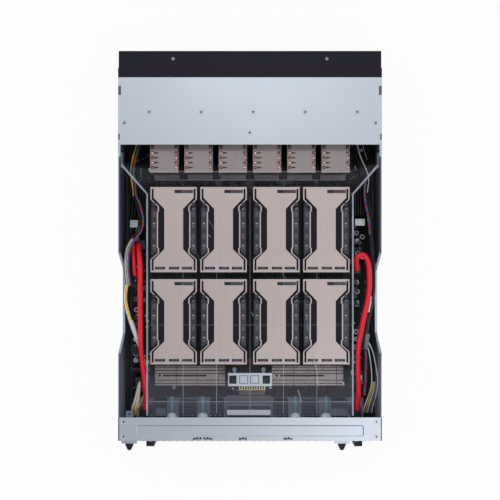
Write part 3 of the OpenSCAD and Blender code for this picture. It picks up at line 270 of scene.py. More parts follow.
def clear_sheet():
    """Clear plastic: nearly all light goes through, with haze and fine scratches on it, and a painted
    reflection behind and just in front of the modules.
    """
    s = Shader("clear_sheet", (0.66, 0.69, 0.84), 0.2, 0.0, 0.3)
    haze = s.noise(9, 3, 0.6)
    y = s.along("Y")
    # Painted reflection: the sheet turns paler behind the modules and faintly paler just in front of them.
    behind = s.spread(y, 0.0, 0.028, MODULES_Y - 0.148, MODULES_Y - 0.185)
    ahead = s.spread(y, 0.0, 0.008, MODULES_Y + 0.152, MODULES_Y + 0.160)
    scratches_and_reflections = s.math("MAXIMUM", s.above(s.noise(60, 2, 0.5, (1, 0.03, 1), 1.6), 0.735),
                       s.above(s.noise(46, 2, 0.5, (0.05, 1, 1), 2.0), 0.745))
    scratches_and_reflections = s.math("MULTIPLY", scratches_and_reflections, 0.07)
    s.surface(Alpha=s.math("ADD", s.spread(haze, 0.0, 0.010), scratches_and_reflections, behind, ahead))
    s.rough(haze, 0.14, 0.3)
    return s.material


def streak():
    """A faint painted reflection on the clear sheet."""
    s = Shader("sheet_streak", (0.62, 0.66, 0.72), 0.3)
    s.surface(Alpha=s.spread(s.noise(120, 3, 0.6), 0.05, 0.75))
    return s.material


def clear_edge():
    """The cut or folded edge of the clear sheet, painted pale blue as a highlight."""
    s = Shader("clear_edge", (0.30, 0.36, 0.45), 0.3, 0.0, 0.6)
    tone = s.noise(55, 3, 0.6, (1, 0.4, 1))
    s.surface(Base_Color=s.mix(tone, 0.6, (0.56, 0.64, 0.76)), Alpha=s.spread(tone, 0.5, 0.95))
    s.rough(tone, 0.2, 0.45)
    return s.material


def fold_line():
    """A crease in the clear sheet, faint over the modules and clearer behind them."""
    s = Shader("fold_line", (0.56, 0.60, 0.70), 0.35)
    y = s.along("Y")
    behind = s.spread(y, 0.14, 0.38, MODULES_Y - 0.135, MODULES_Y - 0.165)
    ahead = s.spread(y, 0.0, 0.10, MODULES_Y + 0.150, MODULES_Y + 0.158)
    worn = s.spread(s.noise(30, 3, 0.6), 0.2, 1.6)
    s.surface(Alpha=s.math("MULTIPLY", s.math("ADD", behind, ahead), worn))
    return s.material


def circuit_board():
    """Black board with faint blocks of copper under the mask and rows of vias."""
    s = Shader("circuit_board", (0.006, 0.0068, 0.0078), 0.42, 0.0, 0.15)
    brick = s.node("TexBrick", offset=0.4, squash=1.3)
    s.feed(brick, Scale=95, Mortar_Size=0.012, Vector=s.coords, Color1=(*s.base, 1),
           Color2=(0.009, 0.011, 0.012, 1), Mortar=(0.018, 0.02, 0.02, 1))
    dots = s.feed(s.node("TexVoronoi"), Scale=260, Vector=s.coords)
    via = s.math("MULTIPLY", s.below(dots.outputs["Distance"], 0.13), 0.35)
    s.surface(Base_Color=s.mix(via, brick.outputs["Color"], (0.16, 0.15, 0.12)))
    s.rough(s.noise(70, 3), 0.28, 0.5)
    s.bump(brick.outputs["Fac"], 0.06, 0.5)
    return s.material


MATERIALS = {
    "zinc": grained("zinc_steel", (0.46, 0.505, 0.565), 0.37, 0.62, grain=(900, 4, 0.7), gloss=(14, 3, 0.6),
                    contrast=(0.25, 0.75), shades=(0.9, 1.08), stain=(0.25, 0.93), roughs=(0.35, 0.39),
                    depth=0.06, strength=0.5),
    "inner": grained("inner_steel", (0.34, 0.38, 0.45), 0.45, 0.8, grain=(500, 3, 0.7, (1, 0.04, 1)),
                     shades=(0.85, 1.1), roughs=(0.38, 0.52)),
    "tray": grained("tray_steel", (0.030, 0.032, 0.042), 0.45, 0.3, 0.4, grain=(500, 3, 0.7, (1, 0.06, 1)),
                    shades=(0.75, 1.35), roughs=(0.36, 0.54)),
    "paint": grained("black_paint", (0.0040, 0.0048, 0.0135), 0.42, 0.0, 0.17, grain=(700, 2, 0.5),
                     tint=(9, 3, 0.6), gloss=(9, 3, 0.6), shades=(0.8, 1.35), roughs=(0.38, 0.46),
                     depth=0.08, strength=0.35),
    "plastic": grained("black_plastic", (0.0085, 0.009, 0.012), 0.5, 0.0, 0.25, grain=(1500, 2, 0.5),
                       tint=(40, 3), shades=(0.8, 1.5), roughs=(0.4, 0.56), depth=0.05, strength=0.5),
    "anodised": grained("black_anodised", (0.006, 0.0064, 0.0095), 0.5, 0.1, 0.16,
                        grain=(700, 3, 0.6, (1, 0.06, 1)), shades=(0.7, 1.6), roughs=(0.44, 0.58)),
    "bronze": grained("bronze_heatsink", (0.29, 0.248, 0.25), 0.42, 0.5, grain=(300, 3, 0.6, (1, 0.05, 1)),
                      gloss=(35, 4, 0.6), shades=(0.88, 1.1), stain=(0.4, (0.25, 0.217, 0.225)),
                      roughs=(0.34, 0.5), depth=0.03, strength=0.3),
    "copper": grained("copper", (0.33, 0.165, 0.12), 0.34, 1.0, grain=(180, 4, 0.7), contrast=(0.0, 0.8),
                      shades=(1.0, (0.15, 0.065, 0.05)), roughs=(0.14, 0.3)),
    "gloss": grained("gloss_black", (0.015, 0.0185, 0.031), 0.34, 0.0, 0.4, grain=(12, 2, 0.5),
                     shades=(0.8, (0.027, 0.034, 0.055)), roughs=(0.28, 0.4), depth=0),
    "tub": tub_steel(),
    "liner": liner_film(),
    "champagne": champagne_plate(),
    "clear": clear_sheet(),
    "edge": clear_edge(),
    "streak": streak(),
    "fold": fold_line(),
    "board": circuit_board(),
    "red_jacket": jacket("red_jacket", (0.93, 0.014, 0.034), 0.4, spec=0.3),
    "sleeve": jacket("black_corrugated_sleeve", (0.014, 0.014, 0.017), 0.42, 3.2 * MM),
}
PLATINGS = {
    "dark_screw": ((0.05, 0.055, 0.07), 0.35),
    "socket": ((0.42, 0.44, 0.47), 0.38),
    "aluminium": ((0.62, 0.64, 0.67), 0.35),
    "dark_pad": ((0.10, 0.105, 0.12), 0.4),
    "gold": ((0.58, 0.44, 0.30), 0.34),
    # A brighter copper that paints a highlight on every other pipe tip.
    "copper_highlight": ((0.80, 0.47, 0.34), 0.3),
    # Painted highlight for the left slope of the bridge rib and the rims round its screws.
    "rib_highlight": ((0.90, 0.94, 0.98), 0.55),
    "bluefin": ((0.11, 0.14, 0.19), 0.4),
}
PAINTS = {
    "frame_screw": ((0.50, 0.45, 0.44), 0.5),
    "label": ((0.80, 0.81, 0.83), 0.55),
    "pale": ((0.58, 0.60, 0.62), 0.45),
    "slate": ((0.13, 0.17, 0.22), 0.45),
    "teal": ((0.10, 0.19, 0.25), 0.42),
    "chip": ((0.016, 0.016, 0.018), 0.4),
    "brown": ((0.088, 0.074, 0.072), 0.5),
    "glint": ((0.42, 0.35, 0.30), 0.4),
    "sparkle": ((0.26, 0.31, 0.38), 0.3),
    "plum": ((0.10, 0.085, 0.105), 0.5),
    "catch": ((0.10, 0.135, 0.19), 0.45),
    "tag": ((0.20, 0.23, 0.28), 0.5),
    "slate_plate": ((0.11, 0.145, 0.20), 0.45),
    # Lit and shaded copies for the slopes of the bridge rib: painted light and painted shade.
    "rib_lit": ((0.56, 0.61, 0.68), 0.4),
    "rib_shade_plum": ((0.30, 0.30, 0.37), 0.4),
    "rib_shade_dark": ((0.15, 0.18, 0.25), 0.4),
    "latch": ((0.045, 0.16, 0.11), 0.45),
    "lamp_green": ((0.10, 0.55, 0.16), 0.3),
}
WIRES = {
    "yellow": (0.85, 0.58, 0.02),
    "slate": (0.13, 0.18, 0.25),
    "purple": (0.17, 0.07, 0.42),
    "green": (0.02, 0.26, 0.11),
    "red": (0.55, 0.012, 0.03),
    "white": (0.86, 0.87, 0.89),
    "grey": (0.22, 0.23, 0.25),
    "black": (0.011, 0.011, 0.013),
}
MATERIALS.update((key, plated(key, *row)) for key, row in PLATINGS.items())
MATERIALS.update((key, flat_paint(key, *row)) for key, row in PAINTS.items())
MATERIALS.update(("wire_" + key, jacket("wire_" + key, color, 0.4)) for key, color in WIRES.items())


# ---- meshes


class Solid:
    """Vertices and faces of one piece, gathered before its mesh is made."""

    def __init__(self):
        self.points = []
        self.faces = []

    def add(self, points, faces):
        start = len(self.points)
        self.points += [tuple(p) for p in points]
        self.faces += [[start + i for i in face] for face in faces]

    def box(self, x0, y0, z0, x1, y1, z1):
        """A box between two corners given as at() takes them; x0 and x1 may be swapped."""
        low, high = at(min(x0, x1), y0, z0), at(max(x0, x1), y1, z1)
        self.add(
            [(x, y, z) for z in (low.z, high.z) for y in (low.y, high.y) for x in (low.x, high.x)],
            [(0, 2, 3, 1), (4, 5, 7, 6), (0, 1, 5, 4), (2, 6, 7, 3), (0, 4, 6, 2), (1, 3, 7, 5)],
        )

    def skin(self, points, sides, caps=()):
        """Joins rings of points, each with so many sides."""
        faces = []
        for i in range(0, len(points) - sides, sides):
            for k in range(sides):
                n = (k + 1) % sides
                faces.append((i + k, i + n, i + sides + n, i + sides + k))
        self.add(points, faces + list(caps))

    def lathe(self, centre, profile, axis="Z", sides=24):
        """A closed turned form: profile is [(radius, height), ...] from the axis back to the axis."""
        points = []
        for radius, height in profile:
            for k in range(sides):
                a = 2 * math.pi * k / sides
                u, v = radius * math.cos(a), radius * math.sin(a)
                points.append(Vector(centre) + Vector((u, height, v) if axis == "Y" else (u, v, height)))
        self.skin(points, sides)

    def disc(self, centre, radius, height, sides, axis="Z"):
        """A cylinder with a softened rim, standing on its centre point."""
        b = radius * 0.15
        self.lathe(centre, [(ON_AXIS, 0), (radius, 0), (radius, height - b), (radius - b, height),
                            (ON_AXIS, height)], axis, sides)

    def ring(self, centre, radius, thick, around=8):
        angles = [2 * math.pi * k / around for k in range(around + 1)]
        self.lathe(centre, [(radius + thick * math.cos(a), thick * math.sin(a)) for a in angles])

    def prism(self, outline, low, high):
        """An upright prism over an outline in X and Y."""
        n = len(outline)
        points = [(x, y, z) for z in (low, high) for x, y in outline]
        faces = [tuple(range(n))[::-1], tuple(range(n, 2 * n))]
        faces += [(i, (i + 1) % n, n + (i + 1) % n, n + i) for i in range(n)]
        self.add(points, faces)

    def tube(self, path, radius, sides=8):
        """A round tube along points, closed at both ends; radius may change with the share of the way."""
        points = []
        last = len(path) - 1
        ways = headings(path)
        side = ways[0].orthogonal()
        for i, (p, ahead) in enumerate(zip(path, ways)):
            side = (side - ahead * side.dot(ahead)).normalized()
            up = ahead.cross(side)
            r = radius(i / last) if callable(radius) else radius
            for k in range(sides):
                a = 2 * math.pi * k / sides
                points.append(p + side * (r * math.cos(a)) + up * (r * math.sin(a)))
        ends = [tuple(range(sides))[::-1], tuple(range(last * sides, (last + 1) * sides))]
        self.skin(points, sides, ends)


def headings(path):
    """The way a path goes at each of its points."""
    last = len(path) - 1
    return [(path[min(i + 1, last)] - path[max(i - 1, 0)]).normalized() for i in range(last + 1)]


def make_piece(name, solid, material, body, slot, bevel=0.0, smooth=False):
    """Turns a Solid into an object that rides on a body; bevel is in millimetres."""
    mesh = bpy.data.meshes.new(name)
    mesh.from_pydata(solid.points, [], solid.faces)
    mesh.validate()
    mesh.update()
    piece = bpy.data.objects.new(name, mesh)
    bpy.context.scene.collection.objects.link(piece)
    mesh.materials.append(MATERIALS[material])
    if smooth:
        mesh.shade_smooth()
        mesh.set_sharp_from_angle(angle=math.radians(40))
    if bevel:
        soften(piece, bevel)
    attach(piece, body)
    return piece


def make_pieces(body, slot, *rows):
    """Makes pieces of one body; slot is not used. A row is name, Solid, material and, if wanted, bevel and
    smooth.
    """
    for name, solid, material, *finish in rows:
        make_piece(name, solid, material, body, slot, *finish)


def at(x, from_rear, z):
    """A point from millimetres: across, forward from the rear edge, and up."""
    return Vector((x * MM, REAR + from_rear * MM, z * MM))


def route(points, steps):
    """A smooth line through points given in millimetres from the middle of the chassis."""
    knots = [Vector((x * MM, MIDDLE_Y + y * MM, z * MM)) for x, y, z in points]
    line = []
    for i in range(len(knots) - 1):
        a, b, c, d = knots[max(i - 1, 0)], knots[i], knots[i + 1], knots[min(i + 2, len(knots) - 1)]
        for k in range(steps):
            t = k / steps
            bend = (2 * a - 5 * b + 4 * c - d) * t**2 + (3 * b - a - 3 * c + d) * t**3
            line.append(0.5 * (2 * b + (c - a) * t + bend))
    line.append(knots[-1])
    return line


# ---- CAD nodes keep their shape and get a finish


def paint(material, *names):
    for name in names:
        node = NODES[name]
        node.data.materials.clear()
        node.data.materials.append(MATERIALS[material])


def paint_where(name, material, inside, facing=None):
    """Another finish for the faces of a CAD node whose middle passes a test, or those that slope one way."""
    mesh = NODES[name].data
    mesh.materials.append(MATERIALS[material])
    last = len(mesh.materials) - 1
    for face in mesh.polygons:
        c, n = face.center, face.normal
        if inside(c.x / MM, (c.y - REAR) / MM, c.z / MM):
            if facing is None or 0.2 < n.z < 0.97 and n.xy.normalized().dot(Vector(facing)) > 0.7:
                face.material_index = last


def soften(piece, width):
    """Rounds the sharp edges of a piece a little so that they catch the light."""
    made = piece.modifiers.new("soft_edges", "BEVEL")
    made.width = width * MM
    made.segments = 2
    made.limit_method = "ANGLE"
    return made


def supply_corner(name):
    """The right side and the middle height of a power supply, in millimetres."""
    low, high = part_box(name)
    return high.x / MM, (low.z + high.z) / 2 / MM


def paint_power_supply(name):
    """Grille, inlet with its pins, handle and latch."""
    right, middle = supply_corner(name)

    def part(material, y0, y1, x0, x1, z0, z1):
        paint_where(name, material, lambda x, y, z:
                    y0 < y < y1 and right - x0 < x < right - x1 and middle + z0 < z < middle + z1)

    paint_where(name, "chip", lambda x, y, z: 1.7 < y < 2.3)
    part("plastic", 0.3, 14.4, 30.3, 4.7, -11.3, 9.3)
    for pin in (21.5, 13.5):
        part("gold", 3.9, 13.5, pin + 1.7, pin - 1.7, -2.2, 1.2)
    part("plastic", -FAR, -0.1, 34.2, 29.8, -17, 17)
    part("latch", -FAR, -0.1, 5.4, 2, -5, 5)


def paint_cad_nodes():
    paint("zinc", "top_cover", "rear_bridge", "lever_brackets", "cable_bridge", "rear_io_panel")
    paint("tub", "chassis_tub", "sled_rear_panel")
    paint("inner", "mid_deck", "fan_cage", *POWER_SUPPLIES)
    paint("tray", "gpu_tray")
    paint("paint", "front_frame", "front_grille")
    paint("liner", "side_liners")
    paint("plastic", "fan_housings", "ejector_lever_left", "ejector_lever_right", "pull_handles",
          *[f"fan_rotor_{i}" for i in range(1, 11)])
    paint("anodised", "gpu_heatsinks")
    paint("champagne", *[f"gpu_cover_{i}" for i in range(1, 9)])
    paint("bronze", "switch_heatsinks", "pcie_heatsinks")
    paint("copper", "switch_heat_pipes")
    paint("clear", "air_duct", "duct_walls")
    paint("board", "mainboard", "baseboard", "power_board", "memory_modules")
    paint("aluminium", "cpu_heatsinks")
    paint("socket", "io_ports", "side_connectors")
    paint("pale", "power_button")
    paint("teal", "board_parts")
    paint("dark_screw", "sled_screws", "chassis_screws")
    paint("red_jacket", "power_cable_left", "power_cable_right")
    paint("wire_slate", "loom_left")
    paint("sleeve", "loom_right")
    paint_where("gpu_heatsinks", "gloss", lambda x, y, z: z > 147.2)
    paint_where("board_parts", "chip", lambda x, y, z: abs(x) > 150)
    paint_where("board_parts", "gold", lambda x, y, z: abs(x) < 45 and y > 67)
    paint_where("board_parts", "brown", lambda x, y, z: abs(x) < 45 and y < 76)
    paint_where("board_parts", "label", lambda x, y, z: 60 < abs(x) < 150 and 28 < y < 38)
    paint_where("mid_deck", "tray", lambda x, y, z: z > 46)
    paint_where("cable_bridge", "tray", lambda x, y, z: 154.2 < z < 154.6)
    paint_where("cable_bridge", "slate", lambda x, y, z: y > 111)
    paint_where("side_connectors", "plastic", lambda x, y, z: y > 373)
    paint_where("side_connectors", "chip", lambda x, y, z: y < 340)
    paint_where("chassis_tub", "catch", lambda x, y, z: abs(x) < 218.7 and 460 < y < 484 and 145 < z < 172)
    # Painted light and shade on the rib's slopes: a highlight facing left, lit facing the rear, plum shade
    # facing the front, dark shade facing right.
    rib_slope_light = {"rib_highlight": (-1, 0), "rib_shade_plum": (0, 1), "rib_lit": (0, -1), "rib_shade_dark": (1, 0)}
    for finish, way in rib_slope_light.items():
        paint_where("rear_bridge", finish, lambda x, y, z: z > 170 and abs(x) < 200 and 4 < y < 36, way)
    soften(NODES["top_cover"], 0.35).angle_limit = math.radians(50)
    for name in POWER_SUPPLIES:
        paint_power_supply(name)


def build_rear_face():
    """Inlet bezels and lamps of the power supplies, and the insides of the ports."""
    for i, name in enumerate(POWER_SUPPLIES):
        right, z = supply_corner(name)
        bezel, lens = Solid(), Solid()
        strips = ((30.2, 29, -11.2, 9.2), (6, 4.8, -11.2, 9.2), (29, 6, -11.2, -10), (29, 6, 8, 9.2))
        for x0, x1, z0, z1 in strips:
            bezel.box(right - x0, -0.7, z + z0, right - x1, 0.2, z + z1)
        dome = [(ON_AXIS, 0), (1.5 * MM, 0), (1.3 * MM, -0.6 * MM), (ON_AXIS, -0.9 * MM)]
        lens.lathe(at(right - 17.5, 0.1, z + 13.5), dome, "Y", 20)
        make_piece(f"inlet_bezel_{i + 1}", bezel, "plastic", name, "black_plastic", bevel=0.2)
        make_piece(f"status_lamp_{i + 1}", lens, "lamp_green", name, "button_plastic", smooth=True)
    insides, contacts = Solid(), Solid()
    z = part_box("io_ports")[0].z / MM
    for x, wide, high in ((-44, 16, 13.5), (-25, 16, 13.5), (-7, 14, 16), (18, 31, 12.5)):
        half, top = wide / 2 - 0.9, z + high - 0.9
        insides.box(x - half, 12.6, z + 0.9, x + half, 13.1, top)
        for s in (-1, 1):
            insides.box(x + s * half, 2, z + 0.9, x + s * (half - 0.8), 12.8, top)
        insides.box(x - half, 2, top - 0.8, x + half, 12.8, top)
    for x in (-44, -25):
        for k in range(8):
            contacts.box(x - 4.6 + k * 1.2, 5, z + 9.6, x - 4.2 + k * 1.2, 12.8, z + 10.2)
    for k in (0, 1):
        insides.box(-12, 4, z + 3.9 + k * 6.6, -2, 12.8, z + 5.5 + k * 6.6)
        contacts.box(-10.8, 4.4, z + 3.7 + k * 6.6, -3.2, 10, z + 3.95 + k * 6.6)
    insides.box(7, 3.2, z + 3, 29, 12.8, z + 9.2)
    for row in range(2):
        for k in range(9):
            pin = at(8.9 + k * 2.15 + row, 3.05, z + 4.9 + row * 2.4)
            contacts.disc(pin, 0.45 * MM, 0.3 * MM, 8, "Y")
    make_piece("port_insides", insides, "plastic", "chassis", "black_plastic")
    make_piece("port_contacts", contacts, "gold", "chassis", "port_shell")


# ---- cables


def cable(name, points, radius, material, slot="loom_wires", sides=8, ends=0.0):
    """One round cable of the sled along a route, thinner at its ends by a share."""
    def thickness(t):
        return radius * MM * (1 - ends * max(0, abs(2 * t - 1) - 0.9) * 10)

    solid = Solid()
    solid.tube(route(points, 10), thickness, sides)
    return make_piece(name, solid, material, SLED, slot, smooth=True)


def wind(name, path, place, index, color, radius):
    """One wire of a loom: place tells how far it lies sideways and up from the path at a share of the way."""
    line = []
    for i, (p, ahead) in enumerate(zip(path, headings(path))):
        side = ahead.cross(Vector((0, 0, 1))).normalized()
        sideways, up = place(i / (len(path) - 1))
        line.append(p + side * sideways + side.cross(ahead) * up)
    solid = Solid()
    solid.tube(line, radius * MM)
    make_piece(f"{name}_{index + 1}_{color}", solid, "wire_" + color, SLED, "loom_wires", smooth=True)


def bundle(name, points, spread, colors, wire, turns, flare):
    """Wires that wind loosely round a route; flare spreads them at its first end."""
    path = route(points, 8)
    for index, color in enumerate(colors):
        phase = random.uniform(0, 0.5)
        reach = spread * random.uniform(0.55, 1.0)

        def place(t):
            angle = 2 * math.pi * (index / len(colors) + turns * t + 0.06 * math.sin(9 * t + index)) + phase
            wander = 1 + 0.25 * math.sin(13 * t + 2 * index)
            r = reach * MM * wander * (1 + flare * max(0.0, 1 - 5 * t))
            return r * math.cos(angle), 0.55 * r * math.sin(angle)

        wind(name, path, place, index, color, wire)


def strands(name, points, colors, wire, turns):
    """Wires twisted tightly round one another along a route."""
    path = route(points, 16)
    reach = 1.15 * wire * MM
    for index, color in enumerate(colors):

        def place(t):
            angle = 2 * math.pi * (index / len(colors) + turns * t)
            return reach * math.cos(angle), reach * math.sin(angle)

        wind(name, path, place, index, color, wire)


def shifted(points, dx, dz):
    return fanned(points, 0, dx, dz)


def fanned(points, step, dx, dz):
    """A route beside another, which leaves it by one more step at each of its points."""
    return [(x + step * k + dx, y, z + dz) for k, (x, y, z) in enumerate(points)]


RED_LEFT = [(-190, 2, 110.4), (-190, 1.8, 124), (-189, -8, 135), (-187.5, -19, 138.5), (-186, -40, 139),
            (-186, -90, 138), (-185.5, -140, 137), (-184.5, -180, 136), (-181, -212, 136),
            (-178.5, -235, 136), (-177, -255, 132), (-179, -278.2, 124)]
RED_STUB = [(-199.6, 2, 110.4), (-199.6, 1.7, 120), (-199, -7, 124), (-198, -20, 126), (-197, -36, 124),
            (-196, -50, 118)]
RED_RIGHT = [(182, -40, 112.4), (182, -38.6, 124), (181, -21, 139), (189, -14.5, 140), (197, -19, 139),
             (201, -32, 138), (202.5, -55, 137), (202, -75, 137), (198.5, -98, 137), (192, -125, 137),
             (188.5, -145, 137), (185.5, -160, 137), (183, -182, 137), (183, -206, 137), (184, -237, 136),
             (184, -256, 132), (183, -278.2, 124)]
LOOM_LEFT = [(-192, 176, 100), (-199, 150, 108), (-202, 128, 112), (-199, 103, 114), (-197, 86, 120),
             (-190, 71, 126), (-184, 46, 128), (-187, 26, 131), (-197, 12, 133), (-206, -5, 131),
             (-209.5, -30, 124), (-209, -50, 116), (-207, -68, 112)]
LOOM_LEFT_SIDE = [(-209, -66, 118), (-211.5, -84, 121), (-210, -100, 121.5), (-206, -116, 121.5),
                  (-202, -130, 120), (-195.5, -150, 118), (-191, -164, 116), (-185.5, -178, 113),
                  (-182, -192, 110), (-180.5, -206, 106)]
LOOM_LEFT_REAR = [(-190, -235, 96.3), (-190, -235.3, 104), (-191, -246, 112), (-193, -262, 116),
                  (-196, -276, 116), (-197, -290, 112)]
LOOM_RIGHT = [(181, 176, 100), (186, 154, 106), (197, 128, 110), (199.5, 114, 112), (197, 91, 118),
              (199, 70, 122), (203, 50, 124), (206, 20, 124), (208, -10, 123), (209, -40, 122),
              (209, -70, 121), (206, -95, 120), (202, -120, 119), (198, -145, 117), (197, -165, 117)]
LOOM_RIGHT_REAR = [(197, -163, 118), (203, -180, 120), (207, -207, 121), (208, -232, 121), (204, -252, 119),
                   (198, -270, 114), (193.5, -286, 108)]


def build_cables():
    left = cable("red_cable_left", RED_LEFT, 4.4, "red_jacket", "red_sleeve", 14)
    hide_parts("power_cable_left")
    cable("red_cable_stub", RED_STUB, 3.5, "red_jacket", "red_sleeve", 14)
    right = cable("red_cable_right", RED_RIGHT, 4.4, "red_jacket", "red_sleeve", 14)
    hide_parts("power_cable_right")

    core = cable("loom_left_core", shifted(LOOM_LEFT[2:], -4, -3), 2.6, "sleeve", "loom_sleeve", 14)
    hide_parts("loom_left")
    loose = ("black", "black", "slate", "black", "black", "grey", "black", "black")
    bundle("loom_left", shifted(LOOM_LEFT, -1.5, -1.5), 4.0, loose, 1.15, 0.7, 1.2)
    strands("loom_left_twist", shifted(LOOM_LEFT, 2.2, 3.4), ("purple", "red", "green"), 0.9, 9)
    strands("loom_left_yellow", shifted(LOOM_LEFT[:5], -2.4, 3.6), ("yellow", "slate", "yellow"), 0.65, 2)
    for i in range(4):
        line = shifted(LOOM_LEFT[8:], 1.5 * i - 4.5, 4.4 - 0.7 * i)
        cable(f"loom_left_white_{i + 1}", line, 0.8, "wire_white" if i % 2 else "wire_grey")
    for i, color in enumerate(("yellow", "yellow", "white")):
        line = shifted(LOOM_LEFT_SIDE, 0.6 - 1.9 * i, 2.4 - 0.8 * i)
        cable(f"loom_left_side_{i + 1}_{color}", line, 1.0, "wire_" + color, sides=10)
    twisted = shifted(LOOM_LEFT_SIDE[:6], -3.6, -0.8)
    strands("loom_left_side_twist", twisted, ("green", "purple", "red"), 1.1, 3)
    for i, color in enumerate(("yellow", "white", "grey", "white", "yellow", "white")):
        line = fanned(LOOM_LEFT_REAR, 0.5 * (i - 3), 0, 1.2 * (i % 2))
        cable(f"loom_left_rear_{i + 1}_{color}", line, 1.05, "wire_" + color)
    across = [(-182.5, -256, 119), (-187, -268, 120), (-193, -280, 119), (-199, -290, 114)]
    cable("loom_left_rear_across", across, 1.05, "wire_yellow")
    label = [(-203.6, -127, 121.6), (-198.4, -142, 120.4), (-192.6, -160, 118)]
    cable("loom_left_label", label, 3.9, "label", "port_shell", 16)

    core = cable("loom_right_sleeve", LOOM_RIGHT[3:], 4.2, "sleeve", "loom_sleeve", 14)
    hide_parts("loom_right")
    loose = ("black", "slate", "black", "black", "black", "black")
    bundle("loom_right", LOOM_RIGHT, 4.6, loose, 1.0, 0.9, 0.8)
    strands("loom_right_twist", shifted(LOOM_RIGHT[3:8], -1.6, 4.2), ("purple", "green", "red"), 1.0, 5)
    tag = [(206.6, -86, 124.4), (205.2, -99, 124.6), (202.6, -113, 124)]
    cable("loom_right_tag", tag, 1.5, "label", "port_shell", 10)
    cable("loom_right_outer", shifted(LOOM_RIGHT[6:13], 2.4, 3.4), 2.6, "sleeve", "loom_sleeve", 14, 0.5)
    cable("loom_right_white", shifted(LOOM_RIGHT[:5], 3.4, 5), 0.7, "wire_white")
    twisted = [(198, -176, 117), (198.5, -200, 116), (198, -228, 115), (196, -256, 113)]
    strands("loom_right_rear_twist", twisted, ("purple", "red", "green"), 1.2, 4)
    for i, color in enumerate(("white", "yellow", "white", "grey", "white")):
        line = fanned(LOOM_RIGHT_REAR, 0.45 * i, 1.2 * i, 1.1 * (i % 2))
        cable(f"loom_right_rear_{i + 1}_{color}", line if i in (0, 4) else line[3:], 0.95, "wire_" + color)
    label = [(200.6, -150, 119.5), (199, -162, 119), (198.5, -176, 117.5)]
    cable("loom_right_label", label, 4.4, "tag", "port_shell", 16)


# ---- screws


def cross_screw(head, recess, centre, radius, height):
    """A flush pan-head screw whose crossed recess is a piece of its own, coloured dark as painted shade."""
    inner = radius * 0.5
    head.lathe(centre, [(inner, -height), (inner, 0), (radius * 0.92, 0), (radius, -0.12 * radius),
                        (radius, -height), (inner, -height)])
    # Painted shade: the recess is a dark piece.
    recess.disc(centre + Vector((0, 0, -height)), inner * 0.99, height * 0.35, 16)
    for a in (0.5, 2.07):
        arm = Vector((math.cos(a), math.sin(a))) * inner
        wide = Vector((-math.sin(a), math.cos(a))) * inner * 0.25
        outline = [(centre.xy + p).to_tuple() for p in (-arm - wide, arm - wide, arm + wide, -arm + wide)]
        recess.prism(outline, centre.z - height, centre.z - 0.25 * height)


def build_screws():
    cover_row = [((5.4 + i * SCREW_PITCH) * MM, FRONT - 101.7 * MM) for i in (-2, -1, 0, 1, 2)]
    cover_row += [(s * 209.7 * MM, FRONT - 120 * MM) for s in (-1, 1)] + [(-0.5 * MM, FRONT - 136 * MM)]
    frame_row = [(s * 128.3 * MM, FRONT - 13 * MM) for s in (-1, 1)]
    bridge_row = [(s * 211 * MM, REAR + d * MM) for s in (-1, 1) for d in BRIDGE_SCREWS]
    head, recess, frame_head, frame_recess = (Solid() for _ in range(4))
    for x, y in cover_row:
        cross_screw(head, recess, Vector((x, y, TOP)), 3.4 * MM, 0.6 * MM)
    for x, y in bridge_row:
        cross_screw(head, recess, Vector((x, y, TOP)), 2.9 * MM, 1.0 * MM)
    for x, y in frame_row:
        cross_screw(frame_head, frame_recess, Vector((x, y, TOP)), 2.6 * MM, 0.6 * MM)
    heads = make_piece("cover_screw_heads", head, "zinc", "chassis", "screw_steel", smooth=True)
    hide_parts("chassis_screws")
    make_pieces("chassis", "screw_steel", ("cover_screw_recess_shade", recess, "chip"),
                ("frame_screw_heads", frame_head, "frame_screw", 0, True),
                ("frame_screw_recess_shade", frame_recess, "dark_screw"))


# ---- accelerator modules and heat pipes


def build_modules():
    """What shows in the windows and slots of each module, with painted glints, highlights and shade, and the
    ribs at its ends.
    """
    window, glint, sparkle, comb, shaded_comb, ribs = (Solid() for _ in range(6))
    half_w = (MODULE_HIGH.x - MODULE_LOW.x) / 2 / MM
    for cx in MODULE_X:
        for cy in MODULE_Y:
            for s in (-1, 1):
                x = cx + s * (half_w - 6)
                for k in range(4):
                    y = cy + (k - 1.5) * WINDOW_PITCH - 2
                    window.box(x - 2.7, y - 4.7, 144.5, x + 2.7, y + 4.7, 147.3)
                    # Painted glint: a pale chip over the first and third window of each row.
                    if k in (0, 2):
                        glint.box(x - 2.0, y + 2.6, 147.2, x + 2.0, y + 4.4, 147.7)
            # Painted highlight: a pale blue sparkle at the front corner of the right shoulder.
            corners = ((-1.6, -1.6), (-0.8, -2.0), (2.6, 0.6), (2.2, 1.6))
            outline = [tuple(at(cx + half_w - 6.6 + dx, cy + 35.2 + dy, 0).xy) for dx, dy in corners]
            sparkle.prism(outline, 148.4 * MM, 148.8 * MM)
            # Lit and shaded combs: the first four fins are painted in shade, the rest in blue-grey painted
            # light.
            for i in range(12):
                x = cx + 2.6 + i * 2.55
                solid = shaded_comb if i < 4 else comb
                solid.box(x, cy + 61.6, 145.5, x + 1.3, cy + 67.1, 148.2 + 0.4 * (i % 3))
            # The end fins of these slots are painted in shade.
            for left in (-31.6, -7.9, 14):
                for i in range(6):
                    x = cx + left + 1.2 + i * 2.7
                    solid = shaded_comb if i in (0, 5) else comb
                    solid.box(x, cy - 67.2, 145.5, x + 1.4, cy - 62.8, 148.3)
            for i in range(9):
                x = cx - 28 + i * 7
                ribs.box(x, cy + 72.4, 120, x + 4.5, cy + 75.5, 138 - 2 * (i % 2))
                ribs.box(x, cy - 75.5, 120, x + 4.5, cy - 72.4, 136 + 2 * (i % 2))
    make_pieces(SLED, "black_heatsink", ("module_windows", window, "brown", 0.2),
                ("module_window_glints", glint, "glint", 0.1), ("module_shoulder_sparkles", sparkle, "sparkle"),
                ("module_lit_combs", comb, "bluefin", 0.15), ("module_shaded_combs", shaded_comb, "chip", 0.15),
                ("module_end_ribs", ribs, "anodised", 0.2))


